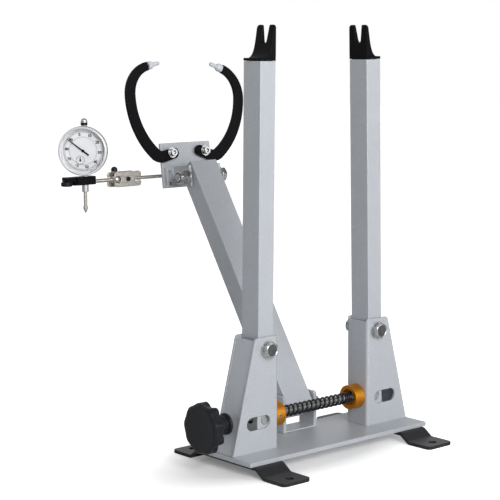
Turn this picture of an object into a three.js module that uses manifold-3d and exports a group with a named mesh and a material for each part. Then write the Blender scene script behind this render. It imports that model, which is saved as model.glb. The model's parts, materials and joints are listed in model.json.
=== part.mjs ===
// A bicycle wheel truing stand: a base on two straps, two uprights that a screw draws together or
// apart, and a gauge arm that carries two caliper arms and a dial indicator.
// Millimetres. X runs along the base, Y to the rear and Z up; angles are in degrees.
import * as THREE from 'three';
import { mergeVertices } from 'three/addons/utils/BufferGeometryUtils.js';
import Module from 'manifold-3d';

const wasm = await Module();
wasm.setup();

// Clearances and cuts
const fit = 0.3;
const seat = 0.1;
const overrun = 2;
const threadPlay = 0.5;
const weld = 0.001;

// Base plate on its two foot straps
const base = { length: 275, width: 96, thickness: 5, corner: 0.8 };
const strap = {
  width: 40, length: 191, thickness: 4, rise: 8.5, endInset: 25.5, flat: 100, joggle: 12,
  corner: 6, holeRadius: 4.5, holeInset: 13.5,
};
const plateTop = strap.rise + strap.thickness + base.thickness;

// Uprights: rectangular tubes that lean inwards on their pivot bolts
const upright = {
  width: 22, depth: 28, wall: 2, corner: 1, above: 314, below: 103, lean: 0.92,
  endInset: 52.2, pivotRise: 113, lever: 79,
};
const tubeCornerShare = 0.25;
const sleeve = { radius: 7.2 };
const barrel = { radius: 5.8 };
const pivotX = base.length / 2 - upright.endInset;
const pivotZ = plateTop + upright.pivotRise;
const leverDrop = upright.lever * Math.cos(THREE.MathUtils.degToRad(upright.lean));
const leverReach = upright.lever * Math.sin(THREE.MathUtils.degToRad(upright.lean));

// Dropout tips in the tops of the tubes
const dropout = {
  cap: 3, capOverhang: 0.3, plug: 14, height: 35.8, foot: 15.8, top: 3, corner: 4,
  slotMouth: 11.5, slotRadius: 4.3, slotFloor: 15, slotLip: 1.2,
};
const flareFootShares = [0.443, 0.068];
const flareTopShares = [0.38, 0.486];

// Folded brackets that hold the uprights
const bracket = {
  sheet: 3, bend: 4, height: 127, footReach: 66.2, headReach: 33.3, webSetback: 15.6,
  corner: 4, webDrop: 3, coverSheet: 2.5, coverRecess: 1,
};
const slotWindow = { length: 34, height: 15, reach: 29, rise: 32.3 };
const bracketDepth = upright.depth + 2 * (fit + bracket.sheet);
const webX = pivotX - bracket.webSetback;

// Bolts: M10 through the pivots, M6 in the calipers
const boltM10 = {
  radius: 5, acrossFlats: 16, head: 6.4, washer: 10, washerThickness: 2, nut: 8, tail: 3,
};
const headNut = { washer: 10.5, washerThickness: 2, hex: 8.5, collar: 7, collarLength: 3, tail: 1.5 };

// Screw with opposite threads at its two ends
const screw = { radius: 4, pastPivot: 19.7 };
const knob = {
  radius: 28.5, lobes: 9, lobeDepth: 5, faceDepth: 1.2, thickness: 15, edge: 2, hubRadius: 11,
  neckRadius: 9, neckLength: 6, flangeRadius: 12, flangeThickness: 3, length: 38, boss: 14, turn: 16,
};
const washer = { radius: 8, thickness: 2.5 };
const collar = { radius: 14.3, length: 14.4, recess: 5.5, recessRadius: 9.2, chamfer: 0.8 };
const grub = { radius: 2, fromRecess: 3.2 };
const spring = {
  radius: 5.6, wire: 2.6, openTurns: 14.5, closeTurns: 2.5, closePitch: 3.4, steps: 8, sides: 5,
};

// Gauge arm and the folded bracket that it tilts in
const armBracket = { sheet: 4.5, floor: 1.8, innerWidth: 43, front: 22.5, height: 42.5, corner: 3 };
const armBracketRear = base.width / 2;
const arm = {
  width: 40, depth: 25, wall: 2, corner: 1.2, span: 307, topEnd: 15, bottomEnd: 9, lean: 32.5,
  pivotY: 33.5, pivotRise: 26,
};

// Head: a plate with two angle pieces that grip the top of the gauge arm
const head = { lean: 7.8, width: 78, height: 55, sheet: 3, below: 11.1, standoff: 28.3 };
const angle = { sheet: 3.5, depth: 34.6, height: 25, flange: 15, below: 11, armGap: 1 };

// Caliper arms and their feeler tips
const caliper = {
  spacing: 52, rise: 31.6, drop: 1.5, thickness: 4.6, spacer: 1, rootWidth: 13, bodyWidth: 14.9,
  elbowWidth: 13.9, tipWidth: 10.7, rootAngle: 192.3, rootLength: 11.3, heelRadius: 14.4, heelAngle: 55,
  sweepRadius: 92.4, sweepAngle: 50.4, hookRadius: 36.7, hookAngle: 75.9, innerLengthLeft: 11.1,
  innerLengthRight: 13.2, rightAngle: 9.1, steps: 7,
};
const caliperBolt = {
  radius: 3, washer: 6.5, washerThickness: 1.2, headRadius: 4.6, headHeight: 4.4, tail: 5, domeShare: 0.85,
};
const feeler = {
  thread: 1.5, threadLength: 11, collar: 5, collarLength: 5, waist: 3.4, waistLength: 3,
  nib: 2.5, nibLength: 11,
};

// Rod holder of the dial indicator
const dialRod = { radius: 2.2, behindPlate: 4.8, rise: 4.6, inner: 2, outer: 80 };
const rodBlock = { length: 20, height: 16, depth: 10, outer: 24 };
const thumb = { radius: 5.5, length: 7, thread: 2, chamferShare: 0.17 };
const swivel = {
  length: 39.5, inner: 69, rearShift: 6, height: 18.4, sheet: 1.4, gap: 5.6, ear: 4, notch: 3,
  notchLength: 6, ballX: 103.6, ballHole: 4.3, screwX: 88.5,
};
const lever = { radius: 2, hub: 4, rise: 10.8, reach: 11.5, ball: 4, armRadius: 1.3, rearShare: 0.7 };
const holderRod = { radius: 2.4, ball: 5, endGap: 8.5 };
const stemClamp = {
  before: 12.3, slitReach: 15.5, stepReach: 18, past: 3.5, height: 9.8, raise: 1.7, depth: 12, corner: 2,
  slit: 1.6,
};
const stemThumb = { radius: 6.8, length: 5.2, gap: 1.2 };

// Dial indicator
const dial = {
  x: 148.5, centreRise: 37.2, facing: 45, caseRadius: 26.6, caseDepth: 16, caseWall: 2.2,
  stemRadius: 4, stemLength: 22.4, bushRadius: 3.4, bushLength: 2.6,
};
const bezel = { radius: 29, depth: 7, lip: 3.4, lipDepth: 2, overlap: 1.2 };
const face = { thickness: 0.8, centre: 16.3, sinkFromRim: 0.4 };
const glass = { thickness: 1 };
const hand = {
  length: 23, tail: 8.6, root: 0.8, tip: 0.35, thickness: 0.35, hub: 1.7, pin: 0.7, pinLength: 3,
  angle: 142.9, height: 1.6, hubShare: 1.5,
};
const smallHand = { length: 3.8, tail: 1.4, x: -3.5, z: -10.9, angle: 90, height: 0.7, hub: 0.8, pin: 0.4 };
const spindle = { radius: 2.1, tip: 73.8, point: 2.6, pointLength: 8.2, cap: 4.1, capLength: 8.4 };
const capLengthShares = [0.5, 0.6, 0.85];
const capCrownShare = 0.8;

// Round shapes: segments of a full turn, and of a corner's quarter
const segments = {
  fine: 32, middle: 20, small: 12, hexagon: 6, corner: 2, edge: 4, arc: 8, ball: 8, lobe: 6,
};

const radians = THREE.MathUtils.degToRad;
const X = new THREE.Vector3(1, 0, 0);
const Y = new THREE.Vector3(0, 1, 0);
const Z = new THREE.Vector3(0, 0, 1);

// A drawn outline is turned so that its own Z runs along X, to the front (-Y), or up.
const onto = {
  x: new THREE.Matrix4().makeBasis(Y, Z, X),
  front: new THREE.Matrix4().makeBasis(X, Z, Y.clone().negate()),
  z: new THREE.Matrix4(),
};

function toSolid(geometry) {
  const bare = new THREE.BufferGeometry();
  bare.setAttribute('position', geometry.getAttribute('position').clone());
  if (geometry.index) bare.setIndex(geometry.index.clone());
  const merged = mergeVertices(bare, weld);
  const faces = [];
  for (let i = 0; i < merged.index.count; i += 3) {
    const [a, b, c] = [0, 1, 2].map((k) => merged.index.getX(i + k));
    if (a !== b && b !== c && c !== a) faces.push(a, b, c);
  }
  const vertProperties = new Float32Array(merged.getAttribute('position').array);
  return new wasm.Manifold(new wasm.Mesh({
    numProp: 3, vertProperties, triVerts: new Uint32Array(faces),
  }));
}

function toGeometry(solid) {
  const mesh = solid.getMesh();
  const geometry = new THREE.BufferGeometry();
  geometry.setAttribute('position', new THREE.BufferAttribute(mesh.vertProperties.slice(), 3));
  geometry.setIndex(new THREE.BufferAttribute(mesh.triVerts.slice(), 1));
  geometry.computeVertexNormals();
  return geometry;
}

const joined = (...parts) => toGeometry(parts.map(toSolid).reduce((all, part) => all.add(part)));
const common = (first, second) => toGeometry(toSolid(first).intersect(toSolid(second)));
const cut = (body, ...tools) => toGeometry(
  tools.map(toSolid).reduce((left, tool) => left.subtract(tool), toSolid(body)),
);

function prism(outline, from, to, axis = 'z', curveSegments = segments.corner) {
  const geometry = new THREE.ExtrudeGeometry(outline, {
    depth: to - from, bevelEnabled: false, curveSegments,
  });
  return geometry.translate(0, 0, from).applyMatrix4(onto[axis]);
}

function rod(radius, from, to, axis = 'z', count = segments.small) {
  const geometry = new THREE.CylinderGeometry(radius, radius, to - from, count);
  return geometry.rotateX(Math.PI / 2).translate(0, 0, (from + to) / 2).applyMatrix4(onto[axis]);
}

function turned(profile, axis = 'z', count = segments.middle) {
  const points = profile.map(([radius, height]) => new THREE.Vector2(radius, height));
  return new THREE.LatheGeometry(points, count).rotateX(Math.PI / 2).applyMatrix4(onto[axis]);
}

function hexagon(acrossFlats, from, to, axis) {
  const radius = acrossFlats / 2 / Math.cos(Math.PI / segments.hexagon);
  return rod(radius, from, to, axis, segments.hexagon);
}

function block([x0, x1], [y0, y1], [z0, z1]) {
  const geometry = new THREE.BoxGeometry(x1 - x0, y1 - y0, z1 - z0);
  return geometry.translate((x0 + x1) / 2, (y0 + y1) / 2, (z0 + z1) / 2);
}

function roundedRectangle(width, height, radius) {
  const shape = new THREE.Shape();
  const [x, y] = [width / 2 - radius, height / 2 - radius];
  shape.absarc(x, y, radius, 0, Math.PI / 2, false);
  shape.absarc(-x, y, radius, Math.PI / 2, Math.PI, false);
  shape.absarc(-x, -y, radius, Math.PI, 1.5 * Math.PI, false);
  shape.absarc(x, -y, radius, 1.5 * Math.PI, 2 * Math.PI, false);
  shape.closePath();
  return shape;
}

function tubeGeometry(width, depth, wall, corner, from, to) {
  const innerCorner = Math.max(corner - wall, wall * tubeCornerShare);
  const inside = roundedRectangle(width - 2 * wall, depth - 2 * wall, innerCorner);
  return cut(
    prism(roundedRectangle(width, depth, corner), from, to),
    prism(inside, from - overrun, to + overrun),
  );
}

// The same shape for the left (-1) or the right (+1) side of the stand.
function sided(geometry, side) {
  if (side > 0) return geometry;
  const mirrored = geometry.clone().scale(-1, 1, 1);
  for (let i = 0; i < mirrored.index.count; i += 3) {
    const first = mirrored.index.getX(i);
    mirrored.index.setX(i, mirrored.index.getX(i + 1));
    mirrored.index.setX(i + 1, first);
  }
  return mirrored;
}

function finish(color, roughness, metalness) {
  return new THREE.MeshStandardMaterial({ color, roughness, metalness });
}
const silver = () => finish(0xb9bcc0, 0.55, 0.3);
const black = () => finish(0x1b1c1f, 0.5, 0.1);
const zinc = () => finish(0x9c9e9f, 0.35, 0.9);
const nickel = () => finish(0xa89f96, 0.35, 0.9);
const gold = () => finish(0xcd8723, 0.35, 0.7);
const nylon = () => finish(0xe9eaea, 0.5, 0);

function addPiece(parent, name, geometry, material) {
  const mesh = new THREE.Mesh(geometry, material);
  mesh.name = name;
  parent.add(mesh);
  return mesh;
}

function addGroup(parent, name, x, y, z) {
  const group = new THREE.Group();
  group.name = name;
  group.position.set(x, y, z);
  parent.add(group);
  return group;
}

const stand = new THREE.Group();
const sides = [['left', -1], ['right', 1]];

function basePlate() {
  const outline = roundedRectangle(base.length, base.width, base.corner);
  return prism(outline, plateTop - base.thickness, plateTop);
}

// The strap's side view: raised under the plate, then joggled down to a pad at each end.
function footStrap() {
  const [inner, outer] = [strap.flat / 2, strap.flat / 2 + strap.joggle];
  const side = new THREE.Shape();
  const low = [[strap.length / 2, 0], [outer, 0], [inner, strap.rise]];
  const under = [...low, ...low.map(([y, z]) => [-y, z]).reverse()];
  under.forEach(([y, z], i) => (i ? side.lineTo(y, z) : side.moveTo(y, z)));
  under.reverse().forEach(([y, z]) => side.lineTo(y, z + strap.thickness));
  side.closePath();
  const plan = prism(
    roundedRectangle(strap.width, strap.length, strap.corner),
    -overrun, strap.rise + strap.thickness + overrun,
  );
  const bent = prism(side, -strap.width / 2, strap.width / 2, 'x');
  const holes = [-1, 1].map((end) => rod(strap.holeRadius, -overrun, strap.thickness + overrun)
    .translate(0, end * (strap.length / 2 - strap.holeInset), 0));
  return cut(common(bent, plan), ...holes);
}

// Half width of the bracket's slanted edge at a height above the plate
const slantReach = (height) => bracket.footReach
  + (bracket.headReach - bracket.footReach) * (height / bracket.height);

function bracketShell() {
  const [half, bend, sheet] = [bracketDepth / 2, bracket.bend, bracket.sheet];
  const reach = bracket.footReach + overrun;
  const plan = new THREE.Shape();
  plan.moveTo(reach, -half);
  plan.absarc(bend, -half + bend, bend, 1.5 * Math.PI, Math.PI, true);
  plan.absarc(bend, half - bend, bend, Math.PI, Math.PI / 2, true);
  plan.lineTo(reach, half);
  plan.lineTo(reach, half - sheet);
  plan.lineTo(sheet, half - sheet);
  plan.lineTo(sheet, sheet - half);
  plan.lineTo(reach, sheet - half);
  plan.closePath();
  const side = new THREE.Shape();
  side.moveTo(0, 0);
  side.lineTo(bracket.footReach, 0);
  side.lineTo(slantReach(bracket.height - bracket.corner), bracket.height - bracket.corner);
  side.quadraticCurveTo(
    bracket.headReach, bracket.height, bracket.headReach - bracket.corner, bracket.height,
  );
  side.lineTo(0, bracket.height);
  side.closePath();
  const window = roundedRectangle(slotWindow.length, slotWindow.height, slotWindow.height / 2);
  const shell = common(
    prism(plan, 0, bracket.height),
    prism(side, -bracketDepth, bracketDepth, 'front'),
  );
  return cut(
    shell,
    prism(window, -bracketDepth, bracketDepth, 'front', segments.arc)
      .translate(slotWindow.reach, 0, slotWindow.rise),
    rod(boltM10.radius + fit, -bracketDepth, bracketDepth, 'front')
      .translate(bracket.webSetback, 0, upright.pivotRise),
    rod(screw.radius + threadPlay, -overrun, sheet + overrun, 'x')
      .translate(0, 0, upright.pivotRise - leverDrop),
    block(
      [-overrun, sheet + fit], [sheet - half, half - sheet],
      [bracket.height - bracket.webDrop, bracket.height + overrun],
    ),
  ).translate(webX, 0, plateTop);
}

// The slanted plate between the bracket's edges; the left one lets the screw through.
function bracketCover(withHole) {
  const top = bracket.height - bracket.webDrop;
  const inner = bracket.coverRecess + bracket.coverSheet;
  const side = new THREE.Shape();
  side.moveTo(slantReach(0) - inner, seat);
  side.lineTo(slantReach(0) - bracket.coverRecess, seat);
  side.lineTo(slantReach(top) - bracket.coverRecess, top);
  side.lineTo(slantReach(top) - inner, top);
  side.closePath();
  const plate = prism(side, -upright.depth / 2, upright.depth / 2, 'front');
  const bore = rod(screw.radius + threadPlay, 0, bracket.footReach, 'x')
    .translate(0, 0, upright.pivotRise - leverDrop);
  return (withHole ? cut(plate, bore) : joined(plate)).translate(webX, 0, plateTop);
}

// A hexagon bolt along one axis: its head lies before zero and its shank runs back from it.
function hexBolt(length, axis) {
  const { radius, acrossFlats, head: high, washer: wide, washerThickness: thick } = boltM10;
  const chamfer = turned([
    [0, 0], [wide, 0], [wide, thick], [acrossFlats / 2 + thick, high - seat],
    [acrossFlats / 2 - seat, thick + high], [0, thick + high],
  ]);
  return joined(
    rod(wide, 0, thick, 'z', segments.middle),
    common(hexagon(acrossFlats, 0, thick + high), chamfer),
    rod(radius, -length, thick),
  ).applyMatrix4(onto[axis]);
}

function hexNut(axis, height = boltM10.nut) {
  const { radius, acrossFlats, washer: wide, washerThickness: thick } = boltM10;
  const body = joined(rod(wide, 0, thick, 'z', segments.middle), hexagon(acrossFlats, 0, thick + height));
  return cut(body, rod(radius + fit, -overrun, thick + height + overrun)).applyMatrix4(onto[axis]);
}

function flipped(geometry) {
  return geometry.rotateZ(Math.PI);
}

const frame = addGroup(stand, 'frame_group', 0, 0, 0);
addPiece(frame, 'base_plate', joined(basePlate()), silver());
for (const [name, side] of sides) {
  addPiece(frame, `${name}_foot_strap`, footStrap(), black())
    .position.x = side * (base.length / 2 - strap.endInset);
  addPiece(frame, `${name}_bracket`, sided(bracketShell(), side), silver());
  addPiece(frame, `${name}_bracket_cover`, sided(bracketCover(side < 0), side), silver());
  const reach = bracketDepth + 2 * seat + boltM10.washerThickness + boltM10.nut + boltM10.tail;
  addPiece(frame, `${name}_pivot_bolt`, hexBolt(reach, 'front'), zinc())
    .position.set(side * pivotX, -bracketDepth / 2 - seat, pivotZ);
  addPiece(frame, `${name}_pivot_nut`, flipped(hexNut('front')), zinc())
    .position.set(side * pivotX, bracketDepth / 2 + seat, pivotZ);
}

// One upright: tube, dropout tip, pivot sleeve and the barrel nut that rides on the screw.
function uprightTube() {
  const { width, depth, wall, corner, above, below, lever: drop } = upright;
  return cut(
    tubeGeometry(width, depth, wall, corner, -below, above),
    rod(sleeve.radius + fit, -depth, depth, 'front', segments.middle),
    rod(barrel.radius + fit, -depth, depth, 'front', segments.middle).translate(0, 0, -drop),
    rod(barrel.radius + fit, -width, width, 'x', segments.middle).translate(0, 0, -drop),
  );
}

// Drawn with its straight face inwards at +X; the slot runs through it along X.
function dropoutTip() {
  const { width, depth, wall, corner, above } = upright;
  const outer = [width + 2 * dropout.capOverhang, depth + 2 * dropout.capOverhang];
  const face = outer[0] / 2;
  const flare = new THREE.Shape();
  flare.moveTo(face, 0);
  flare.lineTo(face, dropout.height);
  flare.lineTo(face - dropout.top, dropout.height);
  flare.bezierCurveTo(
    face - dropout.foot * flareTopShares[0], dropout.height * flareTopShares[1],
    face - dropout.foot * flareFootShares[0], dropout.height * flareFootShares[1],
    face - dropout.foot, 0,
  );
  flare.closePath();
  const half = outer[1] / 2;
  const bend = dropout.corner;
  const mouth = dropout.slotMouth / 2;
  const slotZ = dropout.slotFloor + dropout.slotRadius;
  const front = new THREE.Shape();
  front.moveTo(-half, 0);
  front.lineTo(half, 0);
  front.absarc(half - bend, dropout.height - bend, bend, 0, Math.PI / 2, false);
  front.lineTo(mouth + dropout.slotLip, dropout.height);
  front.quadraticCurveTo(mouth, dropout.height, mouth, dropout.height - dropout.slotLip);
  front.absarc(0, slotZ, dropout.slotRadius, 0, -Math.PI, true);
  front.lineTo(-mouth, dropout.height - dropout.slotLip);
  front.quadraticCurveTo(-mouth, dropout.height, -mouth - dropout.slotLip, dropout.height);
  front.absarc(bend - half, dropout.height - bend, bend, Math.PI / 2, Math.PI, false);
  front.closePath();
  const rounded = prism(roundedRectangle(...outer, corner), -overrun, dropout.height + overrun);
  const fork = common(
    common(
      prism(flare, -half, half, 'front', segments.arc),
      prism(front, -outer[0], outer[0], 'x', segments.arc),
    ),
    rounded,
  );
  const cap = prism(roundedRectangle(...outer, corner), -dropout.cap, 0);
  const plug = prism(
    roundedRectangle(width - 2 * (wall + fit), depth - 2 * (wall + fit), corner / 2),
    -dropout.cap - dropout.plug, -dropout.cap,
  );
  return joined(fork, cap, plug).translate(0, 0, above + fit + dropout.cap);
}

function pivotSleeve() {
  const half = upright.depth / 2;
  return cut(
    rod(sleeve.radius, -half, half, 'front', segments.middle),
    rod(boltM10.radius + fit, -half - overrun, half + overrun, 'front'),
  );
}

function barrelNut() {
  const half = upright.depth / 2;
  return cut(
    rod(barrel.radius, -half, half, 'front', segments.middle),
    rod(screw.radius + threadPlay, -barrel.radius - overrun, barrel.radius + overrun, 'x'),
  );
}

for (const [name, side] of sides) {
  const group = addGroup(stand, `${name}_upright_group`, side * pivotX, 0, pivotZ);
  group.rotation.y = -side * radians(upright.lean);
  addPiece(group, `${name}_upright_tube`, uprightTube(), silver());
  addPiece(group, `${name}_dropout_tip`, sided(dropoutTip(), -side), black());
  addPiece(group, `${name}_pivot_sleeve`, pivotSleeve(), zinc());
  const nut = addGroup(stand, `${name}_nut_group`, side * (pivotX + leverReach), 0, pivotZ - leverDrop);
  addPiece(nut, `${name}_barrel_nut`, barrelNut(), zinc());
}

// Screw, knob, washer, collars and spring, all on one axis along X
const screwZ = pivotZ - leverDrop;
const screwGroup = addGroup(stand, 'screw_group', 0, 0, screwZ);
const coverX = webX + slantReach(screwZ - plateTop) - bracket.coverRecess;
const slant = (bracket.footReach - bracket.headReach) / bracket.height;
const washerX = coverX + washer.radius * slant + fit;
const knobX = washerX + washer.thickness + fit;
const collarX = webX - fit;

// The grip is a stack of lobed rings. Its finger grooves are shallow at the outer face and
// deepen towards the bracket.
function knobGrip() {
  const { radius, lobes, lobeDepth, faceDepth, thickness, edge, length } = knob;
  const back = length - thickness;
  const levels = [
    [back, radius - edge, lobeDepth], [back + edge, radius, lobeDepth],
    [length - thickness / 2, radius, (lobeDepth + faceDepth) / 2],
    [length - edge, radius, faceDepth], [length, radius - edge, faceDepth],
  ];
  const count = lobes * segments.lobe;
  const positions = [];
  const faces = [];
  for (const [height, rim, groove] of levels) {
    for (let i = 0; i < count; i += 1) {
      const turn = (2 * Math.PI * i) / count;
      const reach = rim - groove * (0.5 - 0.5 * Math.cos(lobes * turn));
      positions.push(reach * Math.cos(turn), reach * Math.sin(turn), height);
    }
  }
  const corner = (level, i) => level * count + (i % count);
  const top = levels.length - 1;
  for (let i = 0; i < count; i += 1) {
    for (let level = 0; level < top; level += 1) {
      faces.push(corner(level, i), corner(level, i + 1), corner(level + 1, i));
      faces.push(corner(level, i + 1), corner(level + 1, i + 1), corner(level + 1, i));
    }
    faces.push(levels.length * count, corner(0, i + 1), corner(0, i));
    faces.push(levels.length * count + 1, corner(top, i), corner(top, i + 1));
  }
  positions.push(0, 0, back, 0, 0, length);
  const geometry = new THREE.BufferGeometry();
  geometry.setAttribute('position', new THREE.Float32BufferAttribute(positions, 3));
  geometry.setIndex(faces);
  return geometry.applyMatrix4(onto.x);
}

function knobGeometry() {
  const { thickness, edge, length } = knob;
  const hub = turned([
    [0, 0], [knob.flangeRadius, 0], [knob.flangeRadius, knob.flangeThickness],
    [knob.neckRadius, knob.flangeThickness], [knob.neckRadius, knob.neckLength],
    [knob.hubRadius, knob.neckLength], [knob.boss, length - thickness + edge],
    [0, length - thickness + edge],
  ], 'x');
  const bore = rod(screw.radius + fit, -overrun, length - thickness, 'x');
  return cut(joined(knobGrip(), hub), bore)
    .rotateX(radians(knob.turn)).rotateZ(Math.PI).translate(-knobX, 0, 0);
}

// Drawn with its recess towards the middle of the stand
function collarGeometry() {
  const { radius, length, recess, recessRadius, chamfer } = collar;
  const ring = turned([
    [screw.radius + fit, 0], [radius - chamfer, 0], [radius, chamfer], [radius, length - chamfer],
    [radius - chamfer, length], [recessRadius, length], [recessRadius, length - recess],
    [screw.radius + fit, length - recess], [screw.radius + fit, 0],
  ], 'x', segments.fine);
  const grubHole = rod(grub.radius + fit, 0, radius + overrun, 'front', segments.small)
    .translate(length - recess - grub.fromRecess, 0, 0);
  return cut(ring, grubHole);
}

// One unbroken wire: its pitch closes up towards the right end, and both ends run straight
// into the collars.
function springPath() {
  const half = collarX - collar.length + collar.recess - fit;
  const turns = spring.openTurns + spring.closeTurns;
  const straight = 2 * spring.wire;
  const coil = 2 * half - 2 * straight;
  const openPitch = (coil - spring.closeTurns * spring.closePitch) / spring.openTurns;
  const points = [];
  const count = Math.round(turns * spring.steps);
  let x = -half + straight;
  const wirePoint = (turn, at) => new THREE.Vector3(
    at, spring.radius * Math.sin(turn), spring.radius * Math.cos(turn),
  );
  points.push(wirePoint(0, -half), wirePoint(0, -half + spring.wire));
  for (let i = 0; i <= count; i += 1) {
    const done = (i / count) * turns;
    points.push(wirePoint(2 * Math.PI * done, x));
    x += (done < spring.openTurns ? openPitch : spring.closePitch) * (turns / count);
  }
  const last = 2 * Math.PI * turns;
  points.push(wirePoint(last, half - spring.wire), wirePoint(last, half));
  return points;
}

function springGeometry(points) {
  const radius = spring.wire / 2;
  const positions = [];
  const faces = [];
  points.forEach((point, i) => {
    const before = points[Math.max(i - 1, 0)];
    const after = points[Math.min(i + 1, points.length - 1)];
    const tangent = after.clone().sub(before).normalize();
    const out = new THREE.Vector3(0, point.y, point.z).normalize();
    const across = tangent.clone().cross(out).normalize();
    for (let k = 0; k < spring.sides; k += 1) {
      const turn = (2 * Math.PI * k) / spring.sides;
      const corner = point.clone()
        .addScaledVector(out, radius * Math.cos(turn))
        .addScaledVector(across, radius * Math.sin(turn));
      positions.push(corner.x, corner.y, corner.z);
    }
  });
  const ring = (i, k) => i * spring.sides + (k % spring.sides);
  for (let i = 0; i + 1 < points.length; i += 1) {
    for (let k = 0; k < spring.sides; k += 1) {
      faces.push(ring(i, k), ring(i, k + 1), ring(i + 1, k));
      faces.push(ring(i, k + 1), ring(i + 1, k + 1), ring(i + 1, k));
    }
  }
  for (let k = 1; k + 1 < spring.sides; k += 1) {
    faces.push(ring(0, 0), ring(0, k + 1), ring(0, k));
    const end = points.length - 1;
    faces.push(ring(end, 0), ring(end, k), ring(end, k + 1));
  }
  const geometry = new THREE.BufferGeometry();
  geometry.setAttribute('position', new THREE.Float32BufferAttribute(positions, 3));
  geometry.setIndex(faces);
  return geometry;
}

function leastGap(points) {
  let least = Infinity;
  const apart = spring.steps / 2;
  points.forEach((point, i) => {
    for (let j = i + apart; j < points.length; j += 1) {
      least = Math.min(least, point.distanceTo(points[j]) - spring.wire);
    }
  });
  return least;
}

addPiece(screwGroup, 'screw_rod', joined(
  rod(
    screw.radius, -knobX - knob.length + knob.thickness + overrun, pivotX + screw.pastPivot,
    'x', segments.middle,
  ),
), zinc());
addPiece(screwGroup, 'screw_knob', knobGeometry(), black());
addPiece(screwGroup, 'knob_washer', cut(
  rod(washer.radius, -washerX - washer.thickness, -washerX, 'x', segments.middle),
  rod(screw.radius + fit, -knobX - overrun, -washerX + overrun, 'x'),
), finish(0xa8853c, 0.4, 0.8));
for (const [name, side] of sides) {
  const geometry = side < 0 ? collarGeometry() : collarGeometry().rotateZ(Math.PI);
  addPiece(screwGroup, `${name}_collar`, geometry, gold()).position.x = side * collarX;
  const grubX = collarX - collar.length + collar.recess + grub.fromRecess;
  addPiece(screwGroup, `${name}_collar_screw`, joined(
    rod(grub.radius, screw.radius + fit, collar.radius - fit, 'front', segments.small),
  ).rotateZ(side < 0 ? 0 : Math.PI), zinc()).position.x = side * grubX;
}
const wirePoints = springPath();
console.log(`spring: least gap to itself ${leastGap(wirePoints).toFixed(2)} mm`);
addPiece(screwGroup, 'screw_spring', toGeometry(toSolid(springGeometry(wirePoints))), black());

// Gauge arm, on a folded bracket behind the screw
function armBracketGeometry() {
  const { sheet, floor, innerWidth, front, height, corner } = armBracket;
  const [rear, half] = [armBracketRear, innerWidth / 2 + sheet];
  const section = new THREE.Shape();
  section.moveTo(-half, 0);
  section.lineTo(half, 0);
  section.lineTo(half, height);
  section.lineTo(half - sheet, height);
  section.lineTo(half - sheet, floor);
  section.lineTo(sheet - half, floor);
  section.lineTo(sheet - half, height);
  section.lineTo(-half, height);
  section.closePath();
  const side = new THREE.Shape();
  side.moveTo(front, 0);
  side.lineTo(rear, 0);
  side.absarc(rear - corner, height - corner, corner, 0, Math.PI / 2, false);
  side.absarc(front + corner, height - corner, corner, Math.PI / 2, Math.PI, false);
  side.closePath();
  return cut(
    common(prism(section, -rear, -front, 'front'), prism(side, -half, half, 'x', segments.edge)),
    rod(boltM10.radius + fit, -half - overrun, half + overrun, 'x')
      .translate(0, arm.pivotY, arm.pivotRise),
  ).translate(0, 0, plateTop + seat);
}

const armPivotZ = plateTop + seat + arm.pivotRise;
const armHalf = armBracket.innerWidth / 2 + armBracket.sheet + seat;
addPiece(frame, 'arm_bracket', armBracketGeometry(), silver());
addPiece(frame, 'arm_pivot_bolt', hexBolt(
  2 * armHalf + boltM10.washerThickness + boltM10.nut + boltM10.tail, 'x',
), zinc()).position.set(armHalf, arm.pivotY, armPivotZ);
addPiece(frame, 'arm_pivot_nut', flipped(hexNut('x')), zinc())
  .position.set(-armHalf, arm.pivotY, armPivotZ);

const armGroup = addGroup(stand, 'arm_group', 0, arm.pivotY, armPivotZ);
armGroup.rotation.x = -radians(arm.lean);
addPiece(armGroup, 'gauge_arm', cut(
  tubeGeometry(arm.width, arm.depth, arm.wall, arm.corner, -arm.bottomEnd, arm.span + arm.topEnd),
  rod(boltM10.radius + fit, -arm.width, arm.width, 'x'),
  rod(boltM10.radius + fit, -arm.width, arm.width, 'x').translate(0, 0, arm.span),
), silver());

// Head: it turns on the bolt through the arm's top end
const headGroup = addGroup(
  stand, 'head_group', 0,
  arm.pivotY + arm.span * Math.sin(radians(arm.lean)),
  armPivotZ + arm.span * Math.cos(radians(arm.lean)),
);
headGroup.rotation.x = -radians(head.lean);

const plateFront = head.standoff;
const plateBack = plateFront + head.sheet;
const angleInner = arm.width / 2 + angle.armGap;
const angleOuter = angleInner + angle.sheet;

function headPlate() {
  const plate = block(
    [-head.width / 2, head.width / 2], [plateFront, plateBack], [-head.below, head.height - head.below],
  );
  const holes = sides.map(([, side]) => rod(caliperBolt.radius + fit, -plateBack - overrun, 0, 'front')
    .translate(side * caliper.spacing / 2, 0, caliper.rise));
  return cut(plate, ...holes);
}

function headAngle() {
  const section = new THREE.Shape();
  const [near, far] = [plateFront - seat - angle.depth, plateFront - seat];
  section.moveTo(angleInner, near);
  section.lineTo(angleOuter, near);
  section.lineTo(angleOuter, far - angle.sheet);
  section.lineTo(angleInner + angle.flange, far - angle.sheet);
  section.lineTo(angleInner + angle.flange, far);
  section.lineTo(angleInner, far);
  section.closePath();
  return cut(
    prism(section, -angle.below, angle.height - angle.below),
    rod(boltM10.radius + fit, angleInner - overrun, angleOuter + overrun, 'x'),
  );
}

function lockNut() {
  const { washer: wide, washerThickness: thick, hex, collar: ring, collarLength } = headNut;
  const body = joined(
    rod(wide, 0, thick, 'z', segments.middle),
    hexagon(boltM10.acrossFlats, 0, thick + hex),
    rod(ring, thick, thick + hex + collarLength, 'z', segments.middle),
  );
  const bore = rod(boltM10.radius + fit, -overrun, thick + hex + collarLength + overrun);
  return cut(body, bore).applyMatrix4(onto.x).rotateZ(Math.PI);
}

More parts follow.
